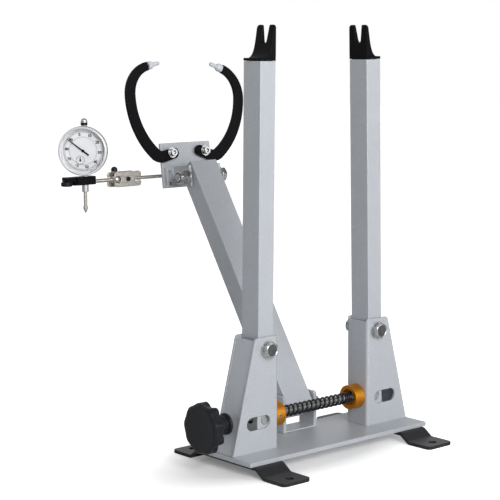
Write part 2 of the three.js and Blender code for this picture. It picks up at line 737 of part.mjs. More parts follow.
addPiece(headGroup, 'head_plate', headPlate(), silver());
for (const [name, side] of sides) {
  addPiece(headGroup, `${name}_head_angle`, sided(headAngle(), side), silver());
}
const headReach = 2 * (angleOuter + seat)
  + headNut.washerThickness + headNut.hex + headNut.collarLength + headNut.tail;
addPiece(headGroup, 'head_pivot_bolt', hexBolt(headReach, 'x'), zinc()).position.x = angleOuter + seat;
addPiece(headGroup, 'head_pivot_nut', lockNut(), zinc()).position.x = -angleOuter - seat;

// Caliper arm: a straight root and three arcs, drawn for the left side from its bolt at zero.
// Each step gives a point on the centre line, the heading there and the bar's width.
function caliperLine(innerEnd) {
  const { rootWidth, bodyWidth, elbowWidth, tipWidth, steps } = caliper;
  const line = [];
  let heading = radians(caliper.rootAngle);
  const point = new THREE.Vector2(rootWidth / 2 - innerEnd, caliper.drop)
    .rotateAround(new THREE.Vector2(), heading);
  const add = (width) => line.push({ at: point.clone(), heading, width });
  const advance = (length) => point.add(
    new THREE.Vector2(length, 0).rotateAround(new THREE.Vector2(), heading),
  );
  const ease = (share) => share * share * (3 - 2 * share);
  add(rootWidth);
  const straight = caliper.rootLength + innerEnd - rootWidth / 2;
  for (let i = 1; i <= steps; i += 1) {
    advance(straight / steps);
    add(rootWidth + (bodyWidth - rootWidth) * ease(i / steps) / 2);
  }
  const arcs = [
    [caliper.heelRadius, caliper.heelAngle, (share) => (rootWidth + bodyWidth) / 2
      + (bodyWidth - rootWidth) * ease(share) / 2],
    [caliper.sweepRadius, caliper.sweepAngle, (share) => bodyWidth + (elbowWidth - bodyWidth) * share],
    [caliper.hookRadius, caliper.hookAngle, (share) => elbowWidth + (tipWidth - elbowWidth) * ease(share)],
  ];
  for (const [radius, angleDegrees, width] of arcs) {
    const step = radians(angleDegrees) / steps;
    for (let i = 1; i <= steps; i += 1) {
      heading -= step / 2;
      advance(2 * radius * Math.sin(step / 2));
      heading -= step / 2;
      add(width(i / steps));
    }
  }
  return line;
}

function caliperArm(line) {
  const offset = ({ at, heading, width }, hand) => new THREE.Vector2(0, hand * width / 2)
    .rotateAround(new THREE.Vector2(), heading).add(at);
  const first = line[0];
  const outline = new THREE.Shape();
  const start = offset(first, -1);
  outline.moveTo(start.x, start.y);
  line.slice(1).forEach((step) => outline.lineTo(...offset(step, -1)));
  line.map((step) => offset(step, 1)).reverse().forEach((point) => outline.lineTo(...point));
  outline.absarc(
    first.at.x, first.at.y, first.width / 2,
    first.heading + Math.PI / 2, first.heading + 1.5 * Math.PI, false,
  );
  return outline;
}

// A feeler tip along +X from the end of its caliper arm
function feelerTip() {
  const waistEnd = feeler.collarLength + feeler.waistLength;
  return joined(turned([
    [0, -feeler.threadLength], [feeler.thread, -feeler.threadLength], [feeler.thread, fit],
    [feeler.collar, fit], [feeler.collar, feeler.collarLength], [feeler.waist, waistEnd],
    [feeler.nib, waistEnd], [feeler.nib, waistEnd + feeler.nibLength - feeler.nib],
    [feeler.nib / Math.SQRT2, waistEnd + feeler.nibLength - feeler.nib * (1 - Math.SQRT1_2)],
    [0, waistEnd + feeler.nibLength],
  ], 'x', segments.small));
}

const caliperY = plateFront - caliper.spacer - caliper.thickness;
function caliperBoltGeometry() {
  const { radius, washer: wide, washerThickness: thick, headRadius: dome, headHeight, tail } = caliperBolt;
  const reach = head.sheet + caliper.spacer + caliper.thickness + 2 * fit + tail;
  return joined(turned([
    [0, -reach], [radius, -reach], [radius, 0], [wide, 0], [wide, thick], [dome, thick],
    [dome, thick + headHeight / 2], [dome * Math.SQRT1_2, thick + headHeight * caliperBolt.domeShare],
    [0, thick + headHeight],
  ], 'front'));
}

for (const [name, side] of sides) {
  const innerEnd = side < 0 ? caliper.innerLengthLeft : caliper.innerLengthRight;
  const line = caliperLine(innerEnd);
  const end = line[line.length - 1];
  const group = addGroup(
    headGroup, `${name}_caliper_group`, side * caliper.spacing / 2, caliperY, caliper.rise,
  );
  group.rotation.y = side > 0 ? radians(caliper.rightAngle) : 0;
  const bar = cut(
    prism(caliperArm(line), -caliper.thickness, 0, 'front'),
    rod(caliperBolt.radius + fit, -caliper.thickness - overrun, overrun, 'front'),
    rod(feeler.thread + fit, -feeler.threadLength - fit, overrun, 'x')
      .rotateY(-end.heading).translate(end.at.x, caliper.thickness / 2, end.at.y),
  );
  addPiece(group, `${name}_caliper_arm`, sided(bar, -side), black());
  const tipGroup = addGroup(
    group, `${name}_feeler_group`, -side * end.at.x, caliper.thickness / 2, end.at.y,
  );
  tipGroup.rotation.y = side < 0 ? -end.heading : Math.PI + end.heading;
  addPiece(tipGroup, `${name}_feeler_tip`, feelerTip(), nylon());
  addPiece(headGroup, `${name}_caliper_bolt`, caliperBoltGeometry(), zinc())
    .position.set(side * caliper.spacing / 2, caliperY - fit, caliper.rise);
}

// Rod block behind the head plate, and the upright frame that everything beyond it keeps
const rodY = plateBack + dialRod.behindPlate;
const rodGroup = addGroup(headGroup, 'dial_rod_group', 0, rodY, dialRod.rise);

function thumbScrew(thread, reach, radius, length) {
  const chamfer = radius * thumb.chamferShare;
  return joined(turned([
    [0, -reach], [thread, -reach], [thread, 0], [radius, 0], [radius, length - chamfer],
    [radius - chamfer, length], [0, length],
  ]));
}

function rodBlockGeometry() {
  const body = block(
    [-rodBlock.outer, rodBlock.length - rodBlock.outer],
    [seat - dialRod.behindPlate, rodBlock.depth - dialRod.behindPlate],
    [-rodBlock.height / 2, rodBlock.height / 2],
  );
  return cut(
    body,
    rod(dialRod.radius + fit, -rodBlock.outer - overrun, rodBlock.outer, 'x'),
    rod(thumb.thread + fit, -rodBlock.depth, 0, 'front')
      .translate(rodBlock.length / 2 - rodBlock.outer, 0, 0),
  );
}

addPiece(rodGroup, 'rod_block', rodBlockGeometry(), silver());
const blockScrew = addGroup(
  rodGroup, 'block_screw_group', rodBlock.length / 2 - rodBlock.outer,
  rodBlock.depth - dialRod.behindPlate + fit, 0,
);
addPiece(blockScrew, 'block_thumb_screw', thumbScrew(
  thumb.thread, blockScrew.position.y - dialRod.radius - fit, thumb.radius, thumb.length,
).rotateX(-Math.PI / 2), black());
addPiece(rodGroup, 'dial_rod', joined(
  rod(dialRod.radius, -dialRod.outer, -dialRod.inner, 'x'),
), nickel());

// Swivel clamp: two stamped plates on a cross screw. They hold the dial rod's end in their notch
// and the ball of the holder rod in their holes.
const clampGroup = addGroup(rodGroup, 'swivel_group', 0, 0, 0);
clampGroup.rotation.x = radians(head.lean);

// The rear plate is the same stamping, turned round and set further out.
function swivelPlate(isRear) {
  const { length, inner, height, sheet, ear, notch, notchLength } = swivel;
  const outer = inner + length;
  const half = height / 2;
  const outline = new THREE.Shape();
  outline.moveTo(-outer + ear, -half);
  outline.lineTo(-inner - ear, -half);
  outline.absarc(-inner - ear, ear - half, ear, 1.5 * Math.PI, 2.5 * Math.PI, false);
  outline.lineTo(-inner - notchLength, -notch);
  outline.lineTo(-inner - notchLength, notch);
  outline.absarc(-inner - ear, half - ear, ear, 1.5 * Math.PI, 2.5 * Math.PI, false);
  outline.lineTo(-outer + ear, half);
  outline.absarc(-outer + ear, half - ear, ear, Math.PI / 2, Math.PI, false);
  outline.absarc(-outer + ear, ear - half, ear, Math.PI, 1.5 * Math.PI, false);
  const blank = prism(outline, 0, sheet, 'front', segments.edge);
  if (isRear) blank.rotateY(Math.PI).translate(-inner - outer - swivel.rearShift, 0, 0);
  return cut(
    blank,
    rod(swivel.ballHole, -overrun, sheet + overrun, 'front', segments.middle)
      .translate(-swivel.ballX, 0, 0),
    rod(lever.radius + fit, -overrun, sheet + overrun, 'front').translate(-swivel.screwX, 0, 0),
  );
}

addPiece(clampGroup, 'swivel_front_plate', swivelPlate(false), nickel()).position.y = -swivel.gap / 2;
addPiece(clampGroup, 'swivel_rear_plate', swivelPlate(true), nickel())
  .position.y = swivel.gap / 2 + swivel.sheet;

function clampLever() {
  const { radius, hub, rise, reach, ball, armRadius } = lever;
  const back = swivel.gap / 2 + swivel.sheet + fit;
  const stalkY = back + ball;
  const hubLength = ball + armRadius;
  const length = Math.hypot(rise, reach);
  const stalk = rod(armRadius, 0, length, 'x', segments.small)
    .rotateY(Math.PI + Math.atan2(rise, reach)).translate(0, stalkY, 0);
  return joined(
    rod(radius, -back - hubLength, back + seat, 'front'),
    rod(hub, -back - hubLength, -back, 'front'),
    rod(hub * lever.rearShare, back, back + swivel.sheet / 2, 'front'),
    stalk,
    new THREE.SphereGeometry(ball, segments.small, segments.ball).translate(-reach, stalkY, rise),
  );
}
const leverGroup = addGroup(clampGroup, 'lever_group', -swivel.screwX, 0, 0);
addPiece(leverGroup, 'clamp_lever', clampLever(), black());

// Holder rod: its ball sits in the swivel plates and its other end in the stem clamp
const holderEnd = dial.x - holderRod.endGap;
const holderGroup = addGroup(clampGroup, 'holder_group', -swivel.ballX, 0, 0);
addPiece(holderGroup, 'holder_rod', joined(
  new THREE.SphereGeometry(holderRod.ball, segments.middle, segments.ball),
  rod(holderRod.radius, swivel.ballX - holderEnd, 0, 'x'),
), nickel());

const stemGroup = addGroup(holderGroup, 'stem_clamp_group', swivel.ballX, 0, 0);
const stepX = dial.x + stemClamp.stepReach;
const stemThumbX = stepX + stemThumb.gap + stemThumb.radius;
function stemClampGeometry() {
  const { height, raise, depth, corner, slit } = stemClamp;
  const [outer, inner] = [stemThumbX + stemClamp.past, dial.x - stemClamp.before];
  const slitX = dial.x + stemClamp.slitReach;
  const body = prism(
    roundedRectangle(outer - inner, depth, corner), raise - height / 2, raise + height / 2,
  ).translate(-(outer + inner) / 2, 0, 0);
  return cut(
    body,
    rod(holderRod.radius + fit, -holderEnd - fit, -inner + overrun, 'x'),
    rod(dial.stemRadius + fit, -height, height, 'z', segments.middle).translate(-dial.x, 0, 0),
    block([-slitX - slit / 2, -slitX + slit / 2], [-depth, 0], [-height, height]),
    block([-outer - overrun, -stepX], [-depth, depth], [-height, raise]),
    rod(thumb.thread + fit, -height, raise + height / 3).translate(-stemThumbX, 0, 0),
  );
}
addPiece(stemGroup, 'stem_clamp', stemClampGeometry(), black());
const stemScrew = addGroup(stemGroup, 'stem_screw_group', -stemThumbX, 0, stemClamp.raise - fit);
addPiece(stemScrew, 'stem_thumb_screw', thumbScrew(
  thumb.thread, stemClamp.height / 3, stemThumb.radius, stemThumb.length,
).rotateX(Math.PI), black());

// Dial indicator: it stands on its stem, with its face to local -Y
const dialGroup = addGroup(stemGroup, 'dial_group', -dial.x, 0, dial.centreRise);
dialGroup.rotation.z = -radians(dial.facing);
const caseFront = dial.caseDepth / 2;
const faceFront = caseFront + face.sinkFromRim + face.thickness;
const glassFront = caseFront + bezel.depth - bezel.lipDepth;
const bezelInner = bezel.radius - bezel.lip;

function dialCase() {
  const { caseRadius, caseWall, stemRadius, bushRadius } = dial;
  const inner = caseRadius - caseWall;
  const cup = joined(
    rod(caseRadius, -caseFront, caseFront, 'front', segments.fine),
    rod(stemRadius, -caseRadius - dial.stemLength, -inner),
    rod(bushRadius, inner, caseRadius + dial.bushLength),
  );
  return cut(
    cup,
    rod(inner, caseWall - caseFront, caseFront + overrun, 'front', segments.fine),
    rod(
      spindle.radius + fit,
      -caseRadius - dial.stemLength - overrun, caseRadius + dial.bushLength + overrun,
    ),
  );
}

function bezelRing() {
  const { radius, depth, lipDepth, overlap } = bezel;
  const skirt = dial.caseRadius + fit;
  const rim = caseFront + fit;
  return turned([
    [skirt, rim - overlap * 2], [radius, rim - overlap * 2], [radius, rim + depth - lipDepth / 2],
    [radius - lipDepth / 2, rim + depth], [bezelInner, rim + depth],
    [bezelInner, rim + depth - lipDepth], [skirt, rim + depth - lipDepth],
    [skirt, rim - overlap * 2],
  ], 'front', segments.fine);
}

function ringPlate(inner, outer, from, to) {
  const corners = [[inner, from], [outer, from], [outer, to], [inner, to], [inner, from]];
  return turned(corners, 'front', segments.fine);
}

function dialHand(length, tail, root, tip, hub, pin, angleDegrees, from) {
  const outline = new THREE.Shape();
  outline.moveTo(-tail, -root);
  outline.lineTo(length, -tip);
  outline.lineTo(length, tip);
  outline.lineTo(-tail, root);
  outline.closePath();
  return joined(
    prism(outline, from, from + hand.thickness, 'front').rotateY(-radians(angleDegrees)),
    rod(hub, from, from + hand.hubShare * hand.thickness, 'front', segments.small),
    rod(pin, from - hand.pinLength, from, 'front', segments.small),
  );
}

addPiece(dialGroup, 'dial_case', dialCase(), finish(0xc2c3c4, 0.35, 0.9));
addPiece(dialGroup, 'dial_face', cut(
  rod(face.centre, faceFront - face.thickness, faceFront, 'front', segments.fine),
  rod(hand.pin + fit, 0, faceFront + overrun, 'front'),
  rod(smallHand.pin + fit, 0, faceFront + overrun, 'front').translate(smallHand.x, 0, smallHand.z),
), finish(0xf2f2f0, 0.6, 0));
const bezelGroup = addGroup(dialGroup, 'bezel_group', 0, 0, 0);
addPiece(bezelGroup, 'dial_bezel', joined(bezelRing()), finish(0xc8c9ca, 0.3, 0.9));
addPiece(bezelGroup, 'scale_ring', joined(ringPlate(
  face.centre + fit, dial.caseRadius, faceFront - face.thickness + fit, faceFront,
)), finish(0xf2f2f0, 0.6, 0));
addPiece(bezelGroup, 'dial_glass', joined(
  rod(dial.caseRadius, glassFront - glass.thickness, glassFront, 'front', segments.fine),
), finish(0xffffff, 0.05, 0));
const mainHandGroup = addGroup(dialGroup, 'main_hand_group', 0, 0, 0);
addPiece(mainHandGroup, 'main_hand', dialHand(
  hand.length, hand.tail, hand.root, hand.tip, hand.hub, hand.pin, hand.angle,
  faceFront + hand.height,
), black());
const smallHandGroup = addGroup(dialGroup, 'small_hand_group', smallHand.x, 0, smallHand.z);
addPiece(smallHandGroup, 'small_hand', dialHand(
  smallHand.length, smallHand.tail, hand.tip, hand.tip, smallHand.hub, smallHand.pin, smallHand.angle,
  faceFront + smallHand.height,
), black());

const spindleGroup = addGroup(dialGroup, 'spindle_group', 0, 0, 0);
const capFoot = dial.caseRadius + dial.bushLength + fit;
const capPlug = capFoot + spindle.capLength * capLengthShares[0];
addPiece(spindleGroup, 'dial_spindle', joined(turned([
  [0, -spindle.tip], [spindle.radius / 2, -spindle.tip + spindle.radius / 2],
  [spindle.point, spindle.pointLength / 2 - spindle.tip], [spindle.point, spindle.pointLength - spindle.tip],
  [spindle.radius, spindle.pointLength - spindle.tip], [spindle.radius, capPlug], [0, capPlug],
], 'z', segments.small)), nickel());
addPiece(spindleGroup, 'spindle_cap', cut(
  turned([
    [0, 0], [spindle.cap, 0], [spindle.cap, spindle.capLength * capLengthShares[1]],
    [spindle.cap * capCrownShare, spindle.capLength * capLengthShares[2]], [0, spindle.capLength],
  ], 'z', segments.small).translate(0, 0, capFoot),
  rod(spindle.radius + fit, capFoot - overrun, capPlug + fit),
), zinc());

// The origin is the middle of the floor under the whole stand.
stand.updateMatrixWorld(true);
const extent = new THREE.Box3().setFromObject(stand, true);
const middle = extent.getCenter(new THREE.Vector3());
stand.position.set(-middle.x, -middle.y, -extent.min.z);
const truingStand = new THREE.Group();
truingStand.add(stand);
truingStand.updateMatrixWorld(true);

export default truingStand;
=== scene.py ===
"""Looks of a bicycle wheel truing stand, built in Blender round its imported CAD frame.

Sizes are in millimetres, angles in degrees. Shapes are drawn at a joint or a node of the frame
and turned to metres when they become pieces.
"""

import json
import logging
import math
from dataclasses import dataclass, replace
from enum import Enum
from functools import cache
from typing import Callable, Iterable, Sequence

import bmesh
import bpy
from mathutils import Matrix, Vector
from mathutils.geometry import tessellate_polygon

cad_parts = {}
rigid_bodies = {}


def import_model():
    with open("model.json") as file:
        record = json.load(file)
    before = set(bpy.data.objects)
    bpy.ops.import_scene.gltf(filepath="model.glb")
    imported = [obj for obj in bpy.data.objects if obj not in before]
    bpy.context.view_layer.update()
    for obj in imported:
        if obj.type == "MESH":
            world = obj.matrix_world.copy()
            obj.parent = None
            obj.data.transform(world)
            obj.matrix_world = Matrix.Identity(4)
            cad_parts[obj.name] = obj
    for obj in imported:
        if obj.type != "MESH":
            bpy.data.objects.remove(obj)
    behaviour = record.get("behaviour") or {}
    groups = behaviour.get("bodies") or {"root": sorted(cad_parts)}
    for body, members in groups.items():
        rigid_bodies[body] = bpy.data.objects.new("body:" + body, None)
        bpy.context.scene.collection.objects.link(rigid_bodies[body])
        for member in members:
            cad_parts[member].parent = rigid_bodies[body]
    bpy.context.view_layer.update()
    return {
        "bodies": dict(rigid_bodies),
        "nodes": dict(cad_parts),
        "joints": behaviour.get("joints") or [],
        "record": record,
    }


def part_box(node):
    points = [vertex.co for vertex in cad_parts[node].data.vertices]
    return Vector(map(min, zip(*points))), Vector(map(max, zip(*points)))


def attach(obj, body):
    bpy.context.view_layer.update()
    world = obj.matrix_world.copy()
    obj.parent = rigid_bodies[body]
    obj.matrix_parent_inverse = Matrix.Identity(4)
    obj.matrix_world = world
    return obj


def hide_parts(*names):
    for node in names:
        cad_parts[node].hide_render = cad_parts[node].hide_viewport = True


MM = 0.001  # metres in a millimetre
TINY = 1e-6  # lengths below this count as nothing
HAIR = 0.01  # keeps two surfaces from falling together
OVERRUN = 2.0  # how far a cutting tool reaches past a piece
SHARP_ANGLE = 38  # edges steeper than this are shaded sharp
IN_FRAME = Matrix.Identity(4)
Point = tuple[float, float]
Size = tuple[float, float, float]
Colour = tuple[float, float, float]
log = logging.getLogger("truing_stand")


class Facing(Enum):
    """Where the depth of a drawn outline or the axis of a turned profile runs."""

    UP = ((1, 0, 0), (0, 1, 0), (0, 0, 1))
    FRONT = ((1, 0, 0), (0, 0, -1), (0, 1, 0))
    SIDE = ((0, 0, 1), (1, 0, 0), (0, 1, 0))

    @property
    def matrix(self) -> Matrix:
        """The turn from the drawing to its place."""
        return Matrix(self.value).to_4x4()


class Hand(Enum):
    """Left or right half of the stand, and its sign along X."""

    LEFT = -1
    RIGHT = 1

    @property
    def label(self) -> str:
        """The word that the frame's node names start with."""
        return self.name.lower()


def shift(x: float = 0, y: float = 0, z: float = 0) -> Matrix:
    """A move by millimetres."""
    return Matrix.Translation((x, y, z))


def turn(degrees: float, axis: str) -> Matrix:
    """A turn about a named axis."""
    return Matrix.Rotation(math.radians(degrees), 4, axis)


def axes(origin: Vector, x: Vector, y: Vector) -> Matrix:
    """A place with given X and Y directions.

    Args:
        origin: The place's origin.
        x: Direction of its X axis.
        y: Direction of its Y axis.

    Returns:
        The matrix from that place to the frame.
    """
    z = x.cross(y)
    rows = Matrix((x, y, z)).transposed().to_4x4()
    return Matrix.Translation(origin) @ rows


def arc(centre: Point, radius: float, start: float, end: float, steps: int = 8) -> list[Point]:
    """Points on an arc.

    Args:
        centre: The arc's centre.
        radius: Its radius.
        start: First angle.
        end: Last angle.
        steps: Straight steps that it is cut into.

    Returns:
        The points, both ends included.
    """
    found = []
    for i in range(steps + 1):
        angle = math.radians(start + (end - start) * i / steps)
        found.append((centre[0] + radius * math.cos(angle), centre[1] + radius * math.sin(angle)))
    return found


def rounded_rectangle(width: float, height: float, radius: float, steps: int = 6) -> list[Point]:
    """A rectangle about the origin with round corners.

    Args:
        width: Size along the first axis.
        height: Size along the second axis.
        radius: Radius of the corners.
        steps: Steps round each corner.

    Returns:
        The outline, anticlockwise.
    """
    x, y = width / 2 - radius, height / 2 - radius
    corners = [((x, y), 0), ((-x, y), 90), ((-x, -y), 180), ((x, -y), 270)]
    return [p for centre, a in corners for p in arc(centre, radius, a, a + 90, steps)]


def circle(radius: float, steps: int = 40, centre: Point = (0, 0)) -> list[Point]:
    """A full circle without its repeated last point."""
    return arc(centre, radius, 0, 360, steps)[:-1]


def filleted(points: Sequence[Point], radius: float, steps: int = 4, closed: bool = True) -> list[Point]:
    """The same line with its corners rounded.

    Args:
        points: Corners of the line.
        radius: Radius of each corner, less where the sides are short.
        steps: Straight steps of each corner.
        closed: Whether the last corner joins the first.

    Returns:
        The rounded line.
    """
    nearly_straight, most = 0.02, 0.45
    result: list[Point] = []
    count = len(points)
    for i, here in enumerate(points):
        if not closed and i in (0, count - 1):
            result.append(tuple(here))
            continue
        p = Vector(here)
        a, b = Vector(points[i - 1]) - p, Vector(points[(i + 1) % count]) - p
        half = a.angle(b) / 2
        if half > math.pi / 2 - nearly_straight:
            result.append(tuple(here))
            continue
        reach = min(radius / math.tan(half), a.length * most, b.length * most)
        start, end = p + a.normalized() * reach, p + b.normalized() * reach
        for k in range(steps + 1):
            t = k / steps
            q = start * (1 - t) ** 2 + p * 2 * t * (1 - t) + end * t**2
            result.append((q.x, q.y))
    return result


def thickened(line: Sequence[Point], widths: Sequence[float]) -> list[Point]:
    """An outline that runs at half a width on both sides of a line.

    Args:
        line: Points of the middle line.
        widths: The whole width at each point.

    Returns:
        The closed outline.
    """
    left, right = [], []
    for i, point in enumerate(line):
        before, after = line[max(i - 1, 0)], line[min(i + 1, len(line) - 1)]
        along = (Vector(after) - Vector(before)).normalized()
        out = Vector((-along.y, along.x)) * widths[i] / 2
        left.append(tuple(Vector(point) + out))
        right.append(tuple(Vector(point) - out))
    return right + left[::-1]


def scratch_object(mesh: bpy.types.Mesh) -> bpy.types.Object:
    """A linked object for work that a modifier does.

    Args:
        mesh: Mesh that the object shows.

    Returns:
        The object, linked to the scene.
    """
    obj = bpy.data.objects.new("scratch", mesh)
    bpy.context.scene.collection.objects.link(obj)
    return obj


def baked(obj: bpy.types.Object) -> bpy.types.Mesh:
    """The plain mesh that an object's modifiers give."""
    graph = bpy.context.evaluated_depsgraph_get()
    return bpy.data.meshes.new_from_object(obj.evaluated_get(graph), depsgraph=graph)


class Solid:
    """A closed shape in millimetres that is cut and joined before it becomes a piece."""

    def __init__(self, bm: bmesh.types.BMesh) -> None:
        """Keeps the mesh that the shape is worked on in."""
        self.bm = bm

    @classmethod
    def prism(
        cls, outline: Sequence[Point], low: float, high: float,
        facing: Facing = Facing.UP, holes: Iterable[Sequence[Point]] = (),
    ) -> "Solid":
        """An outline given depth.

        Args:
            outline: Corners of the outline.
            low: Where its depth starts.
            high: Where its depth ends.
            facing: Where the depth runs.
            holes: Outlines left open.

        Returns:
            The solid.
        """
        bm = bmesh.new()
        loops = [list(outline), *map(list, holes)]
        floors = [[bm.verts.new((x, y, low)) for x, y in loop] for loop in loops]
        roofs = [[bm.verts.new((x, y, high)) for x, y in loop] for loop in loops]
        for floor, roof in zip(floors, roofs):
            for i in range(len(floor)):
                j = (i + 1) % len(floor)
                bm.faces.new((floor[i], floor[j], roof[j], roof[i]))
        if len(loops) == 1:
            bm.faces.new(floors[0][::-1])
            bm.faces.new(roofs[0])
        else:
            faces = tessellate_polygon([[Vector((x, y, 0)) for x, y in loop] for loop in loops])
            for side in (floors, roofs):
                flat = [v for loop in side for v in loop]
                for face in faces:
                    bm.faces.new([flat[k] for k in face])
        bmesh.ops.recalc_face_normals(bm, faces=bm.faces)
        bm.transform(facing.matrix)
        return cls(bm)

    @classmethod
    def turned(
        cls, profile: Sequence[Point], facing: Facing = Facing.UP, steps: int = 64,
        ring: bool = False, reach: Callable[[float, float], float] | None = None,
    ) -> "Solid":
        """A profile of radius and height turned about its axis.

        Args:
            profile: Radius and height of each corner.
            facing: Where the axis runs.
            steps: Steps of the full turn.
            ring: Whether the profile closes on itself and not on the axis.
            reach: What the radius becomes at an angle, for shapes that aren't round.

        Returns:
            The solid.
        """
        bm = bmesh.new()
        rows = []
        for radius, height in profile:
            if radius < TINY:
                rows.append([bm.verts.new((0, 0, height))])
                continue
            row = []
            for k in range(steps):
                angle = 2 * math.pi * k / steps
                r = reach(radius, angle) if reach else radius
                row.append(bm.verts.new((r * math.cos(angle), r * math.sin(angle), height)))
            rows.append(row)
        pairs = list(zip(rows, rows[1:])) + ([(rows[-1], rows[0])] if ring else [])
        for lower, upper in pairs:
            for k in range(steps):
                m = (k + 1) % steps
                corners = [
                    lower[k % len(lower)], lower[m % len(lower)], upper[m % len(upper)],
                    upper[k % len(upper)],
                ]
                unique = list(dict.fromkeys(corners))
                if len(unique) > 2:
                    bm.faces.new(unique)
        bmesh.ops.recalc_face_normals(bm, faces=bm.faces)
        bm.transform(facing.matrix)
        return cls(bm)

    @classmethod
    def block(cls, x: Point, y: Point, z: Point) -> "Solid":
        """A box between two limits on each axis."""
        return cls.prism([(x[0], y[0]), (x[1], y[0]), (x[1], y[1]), (x[0], y[1])], *z)

    @classmethod
    def rod(
        cls, radius: float, low: float, high: float, facing: Facing = Facing.UP, steps: int = 40,
    ) -> "Solid":
        """A plain cylinder between two places on its axis."""
        return cls.prism(circle(radius, steps), low, high, facing)

    @classmethod
    def copy_of(cls, node: bpy.types.Object) -> "Solid":
        """A merged copy of a node of the frame.

        Args:
            node: The node.

        Returns:
            The solid, in the assembly's frame.
        """
        bm = bmesh.new()
        bm.from_mesh(node.data)
        bmesh.ops.remove_doubles(bm, verts=bm.verts, dist=TINY)
        bm.transform(Matrix.Scale(1 / MM, 4))
        bmesh.ops.dissolve_limit(bm, angle_limit=math.radians(1), verts=bm.verts, edges=bm.edges)
        return cls(bm)

    def as_object(self) -> bpy.types.Object:
        """A scratch object with the shape in its mesh.

        Returns:
            The object.
        """
        mesh = bpy.data.meshes.new("scratch")
        self.bm.to_mesh(mesh)
        return scratch_object(mesh)

    def _combined(self, operation: str, others: Sequence["Solid"]) -> "Solid":
        """The shape after a boolean with each of the others.

        Args:
            operation: Name of the boolean.
            others: Shapes to combine with, in turn.

        Returns:
            The combined solid.
        """
        base = self.as_object()
        tools = [other.as_object() for other in others]
        for tool in tools:
            modifier = base.modifiers.new("combine", "BOOLEAN")
            modifier.operation, modifier.solver, modifier.object = operation, "EXACT", tool
        mesh = baked(base)
        self.bm.free()
        self.bm = bmesh.new()
        self.bm.from_mesh(mesh)
        for obj in (base, *tools):
            bpy.data.objects.remove(obj)
        return self

    def cut(self, *tools: "Solid") -> "Solid":
        """The shape without the tools."""
        return self._combined("DIFFERENCE", tools)

    def common(self, *others: "Solid") -> "Solid":
        """What the shape shares with others."""
        return self._combined("INTERSECT", others)

    def with_parts(self, *others: "Solid") -> "Solid":
        """The shape and others in one mesh, each with its own skin.

        Args:
            others: The other shapes.

        Returns:
            The solid with all of them.
        """
        for other in others:
            mesh = bpy.data.meshes.new("scratch")
            other.bm.to_mesh(mesh)
            self.bm.from_mesh(mesh)
        return self

    def moved(self, place: Matrix) -> "Solid":
        """The shape at another place."""
        self.bm.transform(place)
        return self

    def on(self, hand: Hand) -> "Solid":
        """The shape drawn for the right, mirrored where it is for the left.

        Args:
            hand: Side of the stand.

        Returns:
            The solid for that side.
        """
        if hand is Hand.LEFT:
            self.bm.transform(Matrix.Scale(-1, 4, (1, 0, 0)))
            bmesh.ops.reverse_faces(self.bm, faces=self.bm.faces)
        return self

    def softened(self, width: float, steps: int = 2, angle: float = 32) -> "Solid":
        """The shape with its sharp edges rounded off.

        Args:
            width: How far the rounding reaches from an edge.
            steps: Faces across the rounding.
            angle: Edges flatter than this stay as they are.

        Returns:
            The same solid.
        """
        base = self.as_object()
        modifier = base.modifiers.new("soften", "BEVEL")
        modifier.width, modifier.segments = width, steps
        modifier.limit_method, modifier.angle_limit = "ANGLE", math.radians(angle)
        modifier.use_clamp_overlap = False
        modifier.miter_outer = "MITER_ARC"
        mesh = baked(base)
        self.bm.free()
        self.bm = bmesh.new()
        self.bm.from_mesh(mesh)
        bpy.data.objects.remove(base)
        return self

    def mesh(self, place: Matrix, name: str) -> bpy.types.Mesh:
        """The finished mesh in metres, with clean shading.

        Args:
            place: From the drawing to the frame, in millimetres.
            name: Name of the mesh.

        Returns:
            The mesh.
        """
        self.bm.transform(Matrix.Scale(MM, 4) @ place)
        mesh = bpy.data.meshes.new(name)
        self.bm.to_mesh(mesh)
        self.bm.free()
        mesh.shade_smooth()
        mesh.set_sharp_from_angle(angle=math.radians(SHARP_ANGLE))
        obj = scratch_object(mesh)
        modifier = obj.modifiers.new("shade", "WEIGHTED_NORMAL")
        modifier.keep_sharp = True
        shaded = baked(obj)
        shaded.name = name
        bpy.data.objects.remove(obj)
        return shaded


def add_piece(
    solid: Solid, place: Matrix, name: str, body: str, finish: "Finish", *nodes: str,
) -> None:
    """Puts a finished solid in the scene as a piece of the stand.

    Args:
        solid: The solid, used up by this.
        place: From its drawing to the frame, in millimetres.
        name: The piece's name.
        body: The body that it rides on.
        finish: What it is made of.
        *nodes: Nodes that it replaces.
    """
    mesh = solid.mesh(place, name)
    obj = bpy.data.objects.new(name, mesh)
    bpy.context.scene.collection.objects.link(obj)
    mesh.materials.clear()
    mesh.materials.append(finish.material())
    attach(obj, body)
    if nodes:
        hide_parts(*nodes)
    log.info("%s rides on %s, %d faces", name, body, len(mesh.polygons))


